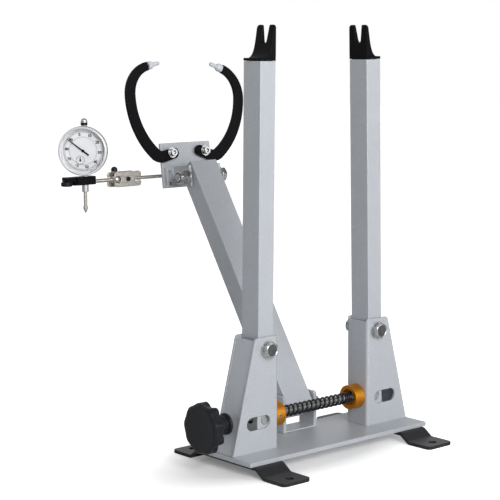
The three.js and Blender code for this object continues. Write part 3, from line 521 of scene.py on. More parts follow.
class Graph:
    """A node tree with short calls to add and join nodes."""

    def __init__(self, tree: bpy.types.NodeTree) -> None:
        """Keeps the tree and starts it empty.

        Args:
            tree: Node tree to build in.
        """
        self.tree = tree
        tree.nodes.clear()
        self.column = 0

    def add(
        self, kind: str, values: dict[str | int, object] | None = None, **settings: object,
    ) -> bpy.types.Node:
        """Adds a node.

        Args:
            kind: Blender's name of the node type.
            values: Values or output sockets for its inputs, by name or number.
            **settings: The node's own properties.

        Returns:
            The node.
        """
        node = self.tree.nodes.new(kind)
        node.location = (self.column * 180, -(self.column % 3) * 160)
        self.column += 1
        for key, value in settings.items():
            setattr(node, key, value)
        for key, value in (values or {}).items():
            if isinstance(value, bpy.types.NodeSocket):
                self.tree.links.new(value, node.inputs[key])
            else:
                node.inputs[key].default_value = value
        return node

    def join(self, start: bpy.types.NodeSocket, end: bpy.types.NodeSocket) -> None:
        """Links an output to an input."""
        self.tree.links.new(start, end)

    def maths(self, operation: str, *values: object) -> bpy.types.NodeSocket:
        """A maths node on values or sockets."""
        node = self.add("ShaderNodeMath", dict(enumerate(values)), operation=operation)
        return node.outputs[0]

    def mix(self, factor: object, first: object, second: object, blend: str = "MIX") -> bpy.types.NodeSocket:
        """A colour mix of two values or sockets."""
        node = self.add(
            "ShaderNodeMix", {0: factor, 6: first, 7: second}, data_type="RGBA", blend_type=blend,
        )
        return node.outputs[2]

    def spread(
        self, value: object, low: float, high: float, start: float, end: float,
    ) -> bpy.types.NodeSocket:
        """Maps a value from one range to another."""
        node = self.add("ShaderNodeMapRange", {0: value, 1: low, 2: high, 3: start, 4: end})
        return node.outputs[0]


Started = tuple[Graph, bpy.types.Node, bpy.types.Node]


def group_tree(
    name: str, kind: str, inputs: dict[str, tuple[str, object]], outputs: dict[str, str],
) -> Started:
    """Starts a node group with named sockets.

    Args:
        name: The group's name.
        kind: Blender's tree type.
        inputs: Socket type and first value by name.
        outputs: Socket type by name.

    Returns:
        The graph, its group input node and its group output node.
    """
    tree = bpy.data.node_groups.new(name, kind)
    graph = Graph(tree)
    for label, (socket, value) in inputs.items():
        made = tree.interface.new_socket(label, in_out="INPUT", socket_type=socket)
        if value is not None:
            made.default_value = value
    for label, socket in outputs.items():
        tree.interface.new_socket(label, in_out="OUTPUT", socket_type=socket)
    return graph, graph.add("NodeGroupInput"), graph.add("NodeGroupOutput")


class Effects:
    """Shader node groups that several finishes share, each built once."""

    PEEL: float = 0.45
    CLOUDS: float = 38.0
    SPOTS: tuple[float, ...] = (0.52, 0.68, 0.0, 1.0)
    CLOUD_TONE: float = 4.0
    CLOUD_GLOSS: float = 2.0
    FLECK_HEIGHT: float = 0.5
    MARKS: float = 900.0
    MARK_SHARE: float = 0.6
    BATH: float = 160.0
    MARK_TONE: float = 3.0

    @staticmethod
    @cache
    def powder() -> bpy.types.NodeTree:
        """Baked powder coat: fine flecks, soft clouds and an orange-peel skin.

        Returns:
            The group, the same one at each call.
        """
        graph, given, result = group_tree(
            "powder_skin", "ShaderNodeTree",
            {
                "Base": ("NodeSocketColor", (0.5, 0.5, 0.5, 1)),
                "Fleck": ("NodeSocketColor", (0.8, 0.8, 0.8, 1)),
                "Grain": ("NodeSocketFloat", 1400.0),
                "Fleck Share": ("NodeSocketFloat", 0.3),
                "Cloud": ("NodeSocketFloat", 0.05),
                "Roughness": ("NodeSocketFloat", 0.45),
            },
            {"Color": "NodeSocketColor", "Roughness": "NodeSocketFloat", "Height": "NodeSocketFloat"},
        )
        place = graph.add("ShaderNodeTexCoord").outputs["Object"]
        coarse = graph.maths("MULTIPLY", given.outputs["Grain"], Effects.PEEL)
        fine = graph.add(
            "ShaderNodeTexNoise", {"Vector": place, "Scale": given.outputs["Grain"], "Detail": 2.0},
        )
        peel = graph.add("ShaderNodeTexNoise", {"Vector": place, "Scale": coarse, "Detail": 1.0})
        cloud = graph.add("ShaderNodeTexNoise", {"Vector": place, "Scale": Effects.CLOUDS, "Detail": 4.0})
        spots = graph.spread(fine.outputs[0], *Effects.SPOTS)
        share = graph.maths("MULTIPLY", spots, given.outputs["Fleck Share"])
        colour = graph.mix(share, given.outputs["Base"], given.outputs["Fleck"])
        shade = graph.maths(
            "MULTIPLY", graph.maths("SUBTRACT", cloud.outputs[0], 0.5), given.outputs["Cloud"],
        )
        tone = graph.maths("ADD", 1.0, graph.maths("MULTIPLY", shade, Effects.CLOUD_TONE))
        tinted = graph.add("ShaderNodeVectorMath", {0: colour, "Scale": tone}, operation="SCALE")
        graph.join(tinted.outputs[0], result.inputs["Color"])
        rough = graph.maths(
            "ADD", given.outputs["Roughness"], graph.maths("MULTIPLY", shade, Effects.CLOUD_GLOSS),
        )
        graph.join(rough, result.inputs["Roughness"])
        specks = graph.maths("MULTIPLY", fine.outputs[0], Effects.FLECK_HEIGHT)
        height = graph.maths("ADD", specks, peel.outputs[0])
        graph.join(height, result.inputs["Height"])
        return graph.tree

    @staticmethod
    @cache
    def streaks() -> bpy.types.NodeTree:
        """Fine marks of a lathe, a file or a plating bath, drawn out along the axes by a stretch.

        Returns:
            The group, the same one at each call.
        """
        graph, given, result = group_tree(
            "metal_marks", "ShaderNodeTree",
            {
                "Base": ("NodeSocketColor", (0.5, 0.5, 0.5, 1)),
                "Stretch": ("NodeSocketVector", (1.0, 1.0, 1.0)),
                "Depth": ("NodeSocketFloat", 0.15),
                "Roughness": ("NodeSocketFloat", 0.3),
            },
            {"Color": "NodeSocketColor", "Roughness": "NodeSocketFloat", "Height": "NodeSocketFloat"},
        )
        place = graph.add("ShaderNodeTexCoord").outputs["Object"]
        drawn = graph.add(
            "ShaderNodeVectorMath", {0: place, 1: given.outputs["Stretch"]}, operation="MULTIPLY",
        )
        marks = graph.add(
            "ShaderNodeTexNoise", {"Vector": drawn.outputs[0], "Scale": Effects.MARKS, "Detail": 3.0},
        )
        bath = graph.add("ShaderNodeTexNoise", {"Vector": place, "Scale": Effects.BATH, "Detail": 3.0})
        tooled = graph.maths("MULTIPLY", marks.outputs[0], Effects.MARK_SHARE)
        both = graph.maths("ADD", tooled, graph.maths("MULTIPLY", bath.outputs[0], 1 - Effects.MARK_SHARE))
        centred = graph.maths("MULTIPLY", graph.maths("SUBTRACT", both, 0.5), given.outputs["Depth"])
        tone = graph.maths("ADD", 1.0, graph.maths("MULTIPLY", centred, Effects.MARK_TONE))
        tinted = graph.add(
            "ShaderNodeVectorMath", {0: given.outputs["Base"], "Scale": tone}, operation="SCALE",
        )
        graph.join(tinted.outputs[0], result.inputs["Color"])
        graph.join(graph.maths("ADD", given.outputs["Roughness"], centred), result.inputs["Roughness"])
        graph.join(marks.outputs[0], result.inputs["Height"])
        return graph.tree


def dressed(
    graph: Graph, surface: bpy.types.Node, effect: bpy.types.Node, bump: float, reach: float,
) -> None:
    """Joins an effect's outputs to a surface.

    Args:
        graph: The material's tree.
        surface: Its Principled BSDF.
        effect: The placed effect group.
        bump: Strength of the relief.
        reach: Its height in millimetres.
    """
    graph.join(effect.outputs["Color"], surface.inputs["Base Color"])
    graph.join(effect.outputs["Roughness"], surface.inputs["Roughness"])
    relief = graph.add(
        "ShaderNodeBump", {"Strength": bump, "Distance": reach * MM, "Height": effect.outputs["Height"]},
    )
    graph.join(relief.outputs[0], surface.inputs["Normal"])


@dataclass(frozen=True)
class Finish:
    """What a surface is made of: the base of every finish."""

    name: str
    colour: Colour
    roughness: float = 0.4
    slot: str | None = None

    def material(self) -> bpy.types.Material:
        """The material, built at its first use.

        Returns:
            The material.
        """
        found = bpy.data.materials.get(self.name)
        if found:
            return found
        made = bpy.data.materials.new(self.name)
        made.use_nodes = True
        made.diffuse_color = (*self.colour, 1)
        graph = Graph(made.node_tree)
        surface = graph.add(
            "ShaderNodeBsdfPrincipled", {"Base Color": (*self.colour, 1), "Roughness": self.roughness},
        )
        out = graph.add("ShaderNodeOutputMaterial")
        graph.join(surface.outputs[0], out.inputs["Surface"])
        self.dress(graph, surface)
        return made

    def dress(self, graph: Graph, surface: bpy.types.Node) -> None:
        """Adds what makes the finish more than a colour."""


@dataclass(frozen=True)
class PowderCoat(Finish):
    """Baked powder over steel or aluminium."""

    fleck: Colour = (0.8, 0.8, 0.8)
    share: float = 0.3
    grain: float = 1400.0
    cloud: float = 0.03
    bump: float = 0.25
    metallic: float = 0.0
    specular: float = 0.5
    relief: float = 0.08

    def dress(self, graph: Graph, surface: bpy.types.Node) -> None:
        """Flecks, clouds and orange peel.

        Args:
            graph: Node graph of the material.
            surface: Its surface node.
        """
        effect = graph.add("ShaderNodeGroup", node_tree=Effects.powder())
        for label, value in {
            "Base": (*self.colour, 1), "Fleck": (*self.fleck, 1), "Grain": self.grain,
            "Fleck Share": self.share, "Cloud": self.cloud, "Roughness": self.roughness,
        }.items():
            effect.inputs[label].default_value = value
        surface.inputs["Metallic"].default_value = self.metallic
        surface.inputs["Specular IOR Level"].default_value = self.specular
        dressed(graph, surface, effect, self.bump, self.relief)


@dataclass(frozen=True)
class Metal(Finish):
    """Bare or plated metal."""

    stretch: Colour = (1.0, 1.0, 1.0)
    depth: float = 0.15
    bump: float = 0.08
    relief: float = 0.03

    def dress(self, graph: Graph, surface: bpy.types.Node) -> None:
        """Tool marks in colour, gloss and relief.

        Args:
            graph: Node graph of the material.
            surface: Its surface node.
        """
        effect = graph.add("ShaderNodeGroup", node_tree=Effects.streaks())
        for label, value in {
            "Base": (*self.colour, 1), "Stretch": self.stretch,
            "Depth": self.depth, "Roughness": self.roughness,
        }.items():
            effect.inputs[label].default_value = value
        surface.inputs["Metallic"].default_value = 1.0
        dressed(graph, surface, effect, self.bump, self.relief)


@dataclass(frozen=True)
class Glass(Finish):
    """Clear crystal of the dial."""

    bending: float = 1.06
    smear: float = 60.0
    gloss: tuple[float, ...] = (0.3, 0.7, 0.01, 0.04)

    def dress(self, graph: Graph, surface: bpy.types.Node) -> None:
        """Lets light through and keeps a faint smear in its gloss.

        Args:
            graph: Node graph of the material.
            surface: Its surface node.
        """
        surface.inputs["Transmission Weight"].default_value = 1.0
        surface.inputs["IOR"].default_value = self.bending
        place = graph.add("ShaderNodeTexCoord").outputs["Object"]
        smear = graph.add("ShaderNodeTexNoise", {"Vector": place, "Scale": self.smear})
        graph.join(graph.spread(smear.outputs[0], *self.gloss), surface.inputs["Roughness"])


class Finishes:
    """Every finish on the stand."""

    SILVER = PowderCoat(
        "silver_powder", (0.43, 0.452, 0.485), 0.42, "silver_coat", fleck=(0.75, 0.78, 0.82), share=0.42,
        grain=1500, cloud=0.02, bump=0.3, metallic=0.25,
    )
    BLACK = PowderCoat(
        "black_powder", (0.012, 0.012, 0.014), 0.4, "black_coat", fleck=(0.05, 0.05, 0.055), share=0.3,
        grain=1700, cloud=0.02, bump=0.5, specular=0.35,
    )
    JET = PowderCoat(
        "jet_coat", (0.003, 0.003, 0.004), 0.42, "black_coat", fleck=(0.014, 0.014, 0.016), share=0.2,
        grain=1900, cloud=0.02, bump=0.3, specular=0.08,
    )
    PLASTIC = PowderCoat(
        "moulded_plastic", (0.009, 0.010, 0.013), 0.42, "black_plastic", fleck=(0.018, 0.02, 0.025),
        share=0.3, grain=2600, cloud=0.06, bump=0.25, specular=0.25,
    )
    NYLON = PowderCoat(
        "white_nylon", (0.53, 0.55, 0.6), 0.38, "nylon", fleck=(0.6, 0.62, 0.66), share=0.4, grain=500,
        cloud=0.02, bump=0.1,
    )
    RUBBER = PowderCoat(
        "dark_insert", (0.02, 0.02, 0.025), 0.5, "black_plastic", fleck=(0.03, 0.03, 0.04), share=0.3,
        grain=1200, bump=0.1,
    )
    PRINT = PowderCoat(
        "dial_print", (0.84, 0.85, 0.87), 0.5, "dial_white", fleck=(0.88, 0.88, 0.9), share=0.3, grain=900,
        cloud=0.01, bump=0.05,
    )
    SCALE = PowderCoat(
        "scale_print", (0.62, 0.63, 0.65), 0.5, "dial_white", fleck=(0.66, 0.66, 0.67), share=0.3,
        grain=900, cloud=0.01, bump=0.05,
    )
    FAINT = PowderCoat(
        "faint_print", (0.4, 0.4, 0.42), 0.5, "hand_black", fleck=(0.5, 0.5, 0.5), share=0.2, grain=2500,
        bump=0.1,
    )
    INK = PowderCoat(
        "dial_ink", (0.006, 0.006, 0.007), 0.5, "hand_black", fleck=(0.02, 0.02, 0.02), share=0.2,
        grain=2500, bump=0.1, specular=0.2,
    )
    ZINC = Metal("zinc_plate", (0.55, 0.55, 0.55), 0.27, "zinc_steel", depth=0.3, bump=0.15)
    # BOLT_FACE is a dark metal that paints the dark reflection in the dished faces of the zinc bolt heads
    BOLT_FACE = Metal("rolled_bolt_face", (0.14, 0.14, 0.15), 0.45, depth=0.6, bump=0.6)
    # GRIP is dark: a painted shade among the ridges of the chrome knurl
    GRIP = Metal("knurled_edge", (0.16, 0.16, 0.17), 0.4, "satin_chrome", depth=0.2, bump=0.1)
    THREAD = Metal("threaded_steel", (0.42, 0.42, 0.42), 0.35, "zinc_steel", depth=0.3, bump=0.1)
    SPRING = PowderCoat(
        "black_spring_steel", (0.012, 0.012, 0.013), 0.3, "spring_steel", fleck=(0.03, 0.03, 0.03),
        share=0.2, grain=2500, bump=0.05, specular=0.35,
    )
    GOLD = Metal(
        "gold_anodised", (0.66, 0.27, 0.025), 0.5, "gold_aluminium", stretch=(0.3, 1.0, 1.0), depth=0.08,
    )
    BRASS = Metal("turned_brass", (0.55, 0.38, 0.14), 0.3, "brass", depth=0.2)
    NICKEL = Metal("nickel_plate", (0.56, 0.525, 0.485), 0.36, "nickel_steel", depth=0.22, bump=0.1)
    CHROME = Metal("satin_chrome", (0.6, 0.6, 0.61), 0.26, "satin_chrome", depth=0.1)
    RIM = PowderCoat(
        "satin_rim", (0.78, 0.79, 0.81), 0.3, "satin_chrome", fleck=(0.8, 0.8, 0.82), share=0.3, grain=1500,
        cloud=0.01, bump=0.05, metallic=0.35,
    )
    GLASS = Glass("dial_crystal", (1.0, 1.0, 1.0), 0.02, "dial_glass")
    SMALL_ZINC = replace(ZINC, slot=None)
    CAP = replace(CHROME, slot="nickel_steel")


class Trees:
    """Geometry node trees for what repeats or follows a rule, each built once."""

    LEAST_RADIUS: float = 0.001

    @staticmethod
    def _start(name: str, inputs: dict[str, tuple[str, object]]) -> Started:
        """A geometry tree with its geometry and material sockets."""
        given = {
            "Geometry": ("NodeSocketGeometry", None), **inputs, "Material": ("NodeSocketMaterial", None),
        }
        return group_tree(name, "GeometryNodeTree", given, {"Geometry": "NodeSocketGeometry"})

    @staticmethod
    def _end(
        graph: Graph, given: bpy.types.Node, result: bpy.types.Node, shape: bpy.types.NodeSocket,
    ) -> bpy.types.NodeTree:
        """Ends a tree in plain geometry with its material.

        Args:
            graph: The tree's graph.
            given: Its group input node.
            result: Its group output node.
            shape: The geometry that it has made.

        Returns:
            The finished tree.
        """
        real = graph.add("GeometryNodeRealizeInstances", {"Geometry": shape})
        painted = graph.add(
            "GeometryNodeSetMaterial", {"Geometry": real.outputs[0], "Material": given.outputs["Material"]},
        )
        graph.join(painted.outputs[0], result.inputs["Geometry"])
        return graph.tree

    @classmethod
    @cache
    def wire(cls) -> bpy.types.NodeTree:
        """A round wire that follows a line of points.

        Returns:
            The tree, the same one at each call.
        """
        graph, given, result = cls._start(
            "wire_on_path", {"Radius": ("NodeSocketFloat", 1.0), "Sides": ("NodeSocketInt", 16)},
        )
        path = graph.add("GeometryNodeMeshToCurve", {"Mesh": given.outputs["Geometry"]})
        section = graph.add(
            "GeometryNodeCurvePrimitiveCircle",
            {"Resolution": given.outputs["Sides"], "Radius": given.outputs["Radius"]}, mode="RADIUS",
        )
        swept = graph.add(
            "GeometryNodeCurveToMesh",
            {"Curve": path.outputs[0], "Profile Curve": section.outputs[0], "Fill Caps": True},
        )
        return cls._end(graph, given, result, swept.outputs[0])

    @classmethod
    @cache
    def thread(cls) -> bpy.types.NodeTree:
        """A screw thread: a pointed ridge wound round a rod.

        Returns:
            The tree, the same one at each call.
        """
        graph, given, result = cls._start("screw_thread", {
            "Radius": ("NodeSocketFloat", 4.0), "Pitch": ("NodeSocketFloat", 1.25),
            "Length": ("NodeSocketFloat", 50.0), "Depth": ("NodeSocketFloat", 0.5),
        })
        inner = graph.maths("SUBTRACT", given.outputs["Radius"], given.outputs["Depth"])
        turns = graph.maths("DIVIDE", given.outputs["Length"], given.outputs["Pitch"])
        helix = graph.add("GeometryNodeCurveSpiral", {
            "Resolution": 24, "Rotations": turns, "Start Radius": inner, "End Radius": inner,
            "Height": given.outputs["Length"],
        })
        upright = graph.add("GeometryNodeSetCurveNormal", {"Curve": helix.outputs[0]}, mode="Z_UP")
        section = graph.add(
            "GeometryNodeCurvePrimitiveCircle", {"Resolution": 4, "Radius": given.outputs["Depth"]},
            mode="RADIUS",
        )
        ridge = graph.add(
            "GeometryNodeCurveToMesh",
            {"Curve": upright.outputs[0], "Profile Curve": section.outputs[0], "Fill Caps": True},
        )
        return cls._end(graph, given, result, ridge.outputs[0])

    @classmethod
    @cache
    def ring(cls) -> bpy.types.NodeTree:
        """Small blocks set round a circle, such as scale marks or ridges.

        Returns:
            The tree, the same one at each call.
        """
        graph, given, result = cls._start("blocks_round_circle", {
            "Count": ("NodeSocketInt", 100), "Radius": ("NodeSocketFloat", 20.0),
            "Size": ("NodeSocketVector", (1.0, 1.0, 1.0)), "Start": ("NodeSocketFloat", 0.0),
        })
        points = graph.add(
            "GeometryNodeMeshCircle",
            {"Vertices": given.outputs["Count"], "Radius": given.outputs["Radius"]},
        )
        block = graph.add("GeometryNodeMeshCube", {"Size": given.outputs["Size"]})
        index = graph.add("GeometryNodeInputIndex").outputs[0]
        step = graph.maths("DIVIDE", 2 * math.pi, given.outputs["Count"])
        angle = graph.maths("MULTIPLY", index, step)
        spin = graph.add("ShaderNodeCombineXYZ", {"Z": angle})
        placed = graph.add("GeometryNodeInstanceOnPoints", {
            "Points": points.outputs[0], "Instance": block.outputs[0], "Rotation": spin.outputs[0],
        })
        real = graph.add("GeometryNodeRealizeInstances", {"Geometry": placed.outputs[0]})
        first = graph.add("ShaderNodeCombineXYZ", {"Z": given.outputs["Start"]})
        turned = graph.add(
            "GeometryNodeTransform", {"Geometry": real.outputs[0], "Rotation": first.outputs[0]},
        )
        return cls._end(graph, given, result, turned.outputs[0])

    @classmethod
    @cache
    def copies(cls) -> bpy.types.NodeTree:
        """One fastener set on every point, turned to the point's facing.

        Returns:
            The tree, the same one at each call.
        """
        graph, given, result = cls._start("fasteners_on_points", {"Fastener": ("NodeSocketObject", None)})
        shape = graph.add("GeometryNodeObjectInfo", {"Object": given.outputs["Fastener"]})
        facing = graph.add("GeometryNodeInputNamedAttribute", {"Name": "facing"}, data_type="FLOAT_VECTOR")
        aligned = graph.add(
            "FunctionNodeAlignRotationToVector", {"Vector": facing.outputs[0]}, axis="Z",
        )
        placed = graph.add("GeometryNodeInstanceOnPoints", {
            "Points": given.outputs["Geometry"], "Instance": shape.outputs["Geometry"],
            "Rotation": aligned.outputs[0],
        })
        return cls._end(graph, given, result, placed.outputs[0])

    @classmethod
    @cache
    def lobes(cls) -> bpy.types.NodeTree:
        """Draws a turned shape in between its lobes.

        Returns:
            The tree, the same one at each call.
        """
        graph, given, result = cls._start("lobed_rim", {
            "Lobes": ("NodeSocketInt", 8), "Depth": ("NodeSocketFloat", 4.0),
            "Inner": ("NodeSocketFloat", 12.0), "Outer": ("NodeSocketFloat", 28.0),
            "Face Depth": ("NodeSocketFloat", 1.2), "Back": ("NodeSocketFloat", 20.0),
            "Face": ("NodeSocketFloat", 36.0),
        })
        place = graph.add("GeometryNodeInputPosition").outputs[0]
        parts = graph.add("ShaderNodeSeparateXYZ", {0: place})
        groove = graph.add("ShaderNodeMapRange", {
            0: parts.outputs[2], 1: given.outputs["Back"], 2: given.outputs["Face"],
            3: given.outputs["Depth"], 4: given.outputs["Face Depth"],
        })
        flat = graph.add("ShaderNodeCombineXYZ", {"X": parts.outputs[0], "Y": parts.outputs[1]})
        radius = graph.add("ShaderNodeVectorMath", {0: flat.outputs[0]}, operation="LENGTH").outputs["Value"]
        angle = graph.maths("ARCTAN2", parts.outputs[1], parts.outputs[0])
        wave = graph.maths("COSINE", graph.maths("MULTIPLY", angle, given.outputs["Lobes"]))
        dip = graph.maths("MULTIPLY", graph.maths("SUBTRACT", 1.0, wave), 0.5)
        part = graph.add("ShaderNodeMapRange", {
            0: radius, 1: given.outputs["Inner"], 2: given.outputs["Outer"], 3: 0.0, 4: groove.outputs[0],
        }, interpolation_type="SMOOTHSTEP")
        depth = graph.maths("MULTIPLY", dip, part.outputs[0])
        share = graph.maths("DIVIDE", depth, graph.maths("MAXIMUM", radius, cls.LEAST_RADIUS))
        outward = graph.maths("MULTIPLY", share, -1.0)
        offset = graph.add("ShaderNodeVectorMath", {0: flat.outputs[0], "Scale": outward}, operation="SCALE")
        drawn = graph.add(
            "GeometryNodeSetPosition", {"Geometry": given.outputs["Geometry"], "Offset": offset.outputs[0]},
        )
        return cls._end(graph, given, result, drawn.outputs[0])


def grown(
    tree: bpy.types.NodeTree, finish: Finish, values: dict[str, object], start: bpy.types.Mesh | None = None,
) -> Solid:
    """What a geometry tree makes, as a solid that can be placed.

    Args:
        tree: The geometry tree.
        finish: The material that it sets.
        values: Values of its inputs, by name.
        start: The mesh that it starts from.

    Returns:
        The solid, in the tree's own units.
    """
    obj = scratch_object(start or bpy.data.meshes.new("scratch"))
    modifier = obj.modifiers.new("grow", "NODES")
    modifier.node_group = tree
    sockets = {
        item.name: item.identifier for item in tree.interface.items_tree
        if item.item_type == "SOCKET" and item.in_out == "INPUT"
    }
    for label, value in {**values, "Material": finish.material()}.items():
        modifier[sockets[label]] = value
    mesh = baked(obj)
    bpy.data.objects.remove(obj)
    bm = bmesh.new()
    bm.from_mesh(mesh)
    for face in bm.faces:
        face.material_index = 0
    return Solid(bm)


def points_mesh(points: Sequence[Vector], facings: Sequence[Vector] | None = None) -> bpy.types.Mesh:
    """A mesh of points: a line without facings, or loose points with them.

    Args:
        points: The points, in metres.
        facings: A turn for each point, or nothing for a line.

    Returns:
        The mesh.
    """
    mesh = bpy.data.meshes.new("points")
    edges = [] if facings else [(i, i + 1) for i in range(len(points) - 1)]
    mesh.from_pydata([tuple(p) for p in points], edges, [])
    if facings:
        attribute = mesh.attributes.new("facing", "FLOAT_VECTOR", "POINT")
        attribute.data.foreach_set("vector", [c for f in facings for c in f])
    return mesh


class Layout:
    """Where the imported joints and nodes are, in millimetres."""

    def __init__(self, frame: dict) -> None:
        """Keeps the joints and nodes by name and finds the middle of the base plate's top.

        Args:
            frame: The assembly's frame, as loaded.
        """
        self.joints = {joint["name"]: joint for joint in frame["joints"]}
        self.nodes = frame["nodes"]
        low, high = self.box("base_plate")
        self.plate_top = high.z
        self.home = Vector(((low.x + high.x) / 2, (low.y + high.y) / 2, 0))

    def box(self, node: str) -> tuple[Vector, Vector]:
        """Lowest and highest corner of a node."""
        low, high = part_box(node)
        return low / MM, high / MM

    def recoat(self, node: str, body: str, finish: Finish, ease: float, steps: int = 2) -> None:
        """Gives a node's own shape eased edges and a finish.

        Args:
            node: The node of the frame.
            body: The body that it rides on.
            finish: What it is made of.
            ease: How far the rounding reaches from its edges.
            steps: Faces across the rounding.
        """
        shape = Solid.copy_of(self.nodes[node]).softened(ease, steps)
        add_piece(shape, IN_FRAME, f"{node}_coated", body, finish, node)

    def pivot(self, joint: str) -> Vector:
        """Where a joint turns."""
        return Vector(self.joints[joint]["pos_m"]) / MM

    def axis(self, joint: str) -> Vector:
        """The way that a joint turns or slides along."""
        return Vector(self.joints[joint]["axis"]).normalized()

    def at(self, x: float = 0, y: float = 0, z: float = 0) -> Matrix:
        """A place from the middle of the base, on the floor."""
        return Matrix.Translation(self.home + Vector((x, y, z)))

    def head(self) -> Matrix:
        """The tilted frame of the head, at its pivot."""
        return axes(self.pivot("head_tilt"), Vector((1, 0, 0)), self.axis("left_caliper_swing"))

    def dial(self) -> Matrix:
        """The frame of the dial: its face looks along -Y and its stem runs down."""
        back = self.axis("bezel_turn")
        return axes(self.pivot("bezel_turn"), back.cross(Vector((0, 0, 1))), back)


@dataclass
class HexParts:
    """Hexagon bolts and nuts."""

    flats: float = 16.0
    head: float = 6.4
    washer: float = 10.0
    washer_thickness: float = 2.0
    nut: float = 8.0
    shank: float = 5.0
    tail: float = 3.0
    crown_share: float = 0.96
    crown_slope: float = 28.0
    crown_rows: int = 6
    crown_edge: float = 0.18
    dish: float = 0.5
    dish_crown: float = 0.05
    dish_shares: tuple[float, float] = (0.41, 0.45)
    face_share: float = 0.405
    face_thickness: float = 0.2
    marks: int = 3
    mark_share: float = 0.26
    mark_size: Size = (2.2, 0.6, 0.3)
    mark_start: float = 0.3
    mark_lift: float = 0.25
    point: float = 0.9
    thread_depth: float = 0.1
    bore_gap: float = 0.12
    washer_gap: float = 0.15
    washer_edge: float = 0.35
    nut_washer_edge: float = 0.3

    def _hexagon(self, radius: float, angle: float) -> float:
        """The reach of a hexagon whose round form has that radius."""
        part = (angle + math.pi / 6) % (math.pi / 3) - math.pi / 6
        return min(radius, self.flats / 2 / math.cos(part))

    def _chamfered(self, low: float, high: float, steps: int = 72) -> Solid:
        """A hexagonal prism with its top corners turned off.

        Args:
            low: Lower end.
            high: Upper end.
            steps: Steps round the cut.

        Returns:
            The solid.
        """
        flat = self.flats / 2
        corner = flat / math.cos(math.pi / 6)
        inward = corner - flat * self.crown_share
        fall = inward * math.tan(math.radians(self.crown_slope))
        profile = [(corner, low)]
        for i in range(self.crown_rows + 1):
            share = i / self.crown_rows
            profile.append((corner - inward * share, high - fall * (1 - share)))
        return Solid.turned([(0, low), *profile, (0, high)], steps=steps, reach=self._hexagon)

    def bolt_head(self) -> Solid:
        """A washer and a head with a shallow dish, on the Z axis from zero.

        Returns:
            The solid.
        """
        base = self.washer_thickness
        disc = Solid.rod(self.washer, 0, base, steps=64).softened(self.washer_edge)
        top = base + self.head
        crown = self._chamfered(base, top)
        bottom, mouth = (self.flats * share for share in self.dish_shares)
        above = top + self.face_thickness
        dish = Solid.turned([
            (0, top - self.dish - self.dish_crown), (bottom, top - self.dish), (mouth, above), (0, above),
        ])
        return disc.with_parts(crown.cut(dish).softened(self.crown_edge))

    def face(self) -> Solid:
        """A dark disc in the head's dish, a painted dark reflection, with its raised grade marks.

        Returns:
            The solid.
        """
        level = self.washer_thickness + self.head - self.dish
        disc = Solid.rod(self.flats * self.face_share, level, level + self.face_thickness, steps=48)
        marks = grown(Trees.ring(), Finishes.BOLT_FACE, {
            "Count": self.marks, "Radius": self.flats * self.mark_share, "Size": self.mark_size,
            "Start": self.mark_start,
        }).moved(shift(0, 0, level + self.mark_lift))
        return disc.with_parts(marks)

    def bolt(self, length: float) -> Solid:
        """A bolt whose shank runs back from its washer's seat.

        Args:
            length: Length of the shank.

        Returns:
            The solid.
        """
        thick = self.shank - self.thread_depth
        end = Solid.turned([
            (0, -length), (self.shank - self.point, -length), (thick, self.point - length), (thick, 0),
            (0, 0),
        ])
        return self.bolt_head().with_parts(end)

    def nut_body(self) -> Solid:
        """A washer and a nut on the Z axis from zero, open for the bolt's end.

        Returns:
            The solid.
        """
        base = self.washer_thickness
        hole = circle(self.shank + self.washer_gap, 40)
        disc = Solid.prism(circle(self.washer, 64), 0, base, holes=[hole]).softened(self.nut_washer_edge)
        body = self._chamfered(base, base + self.nut)
        bore = Solid.rod(self.shank + self.bore_gap, -OVERRUN, base + self.nut + OVERRUN)
        return disc.with_parts(body.cut(bore).softened(self.crown_edge))


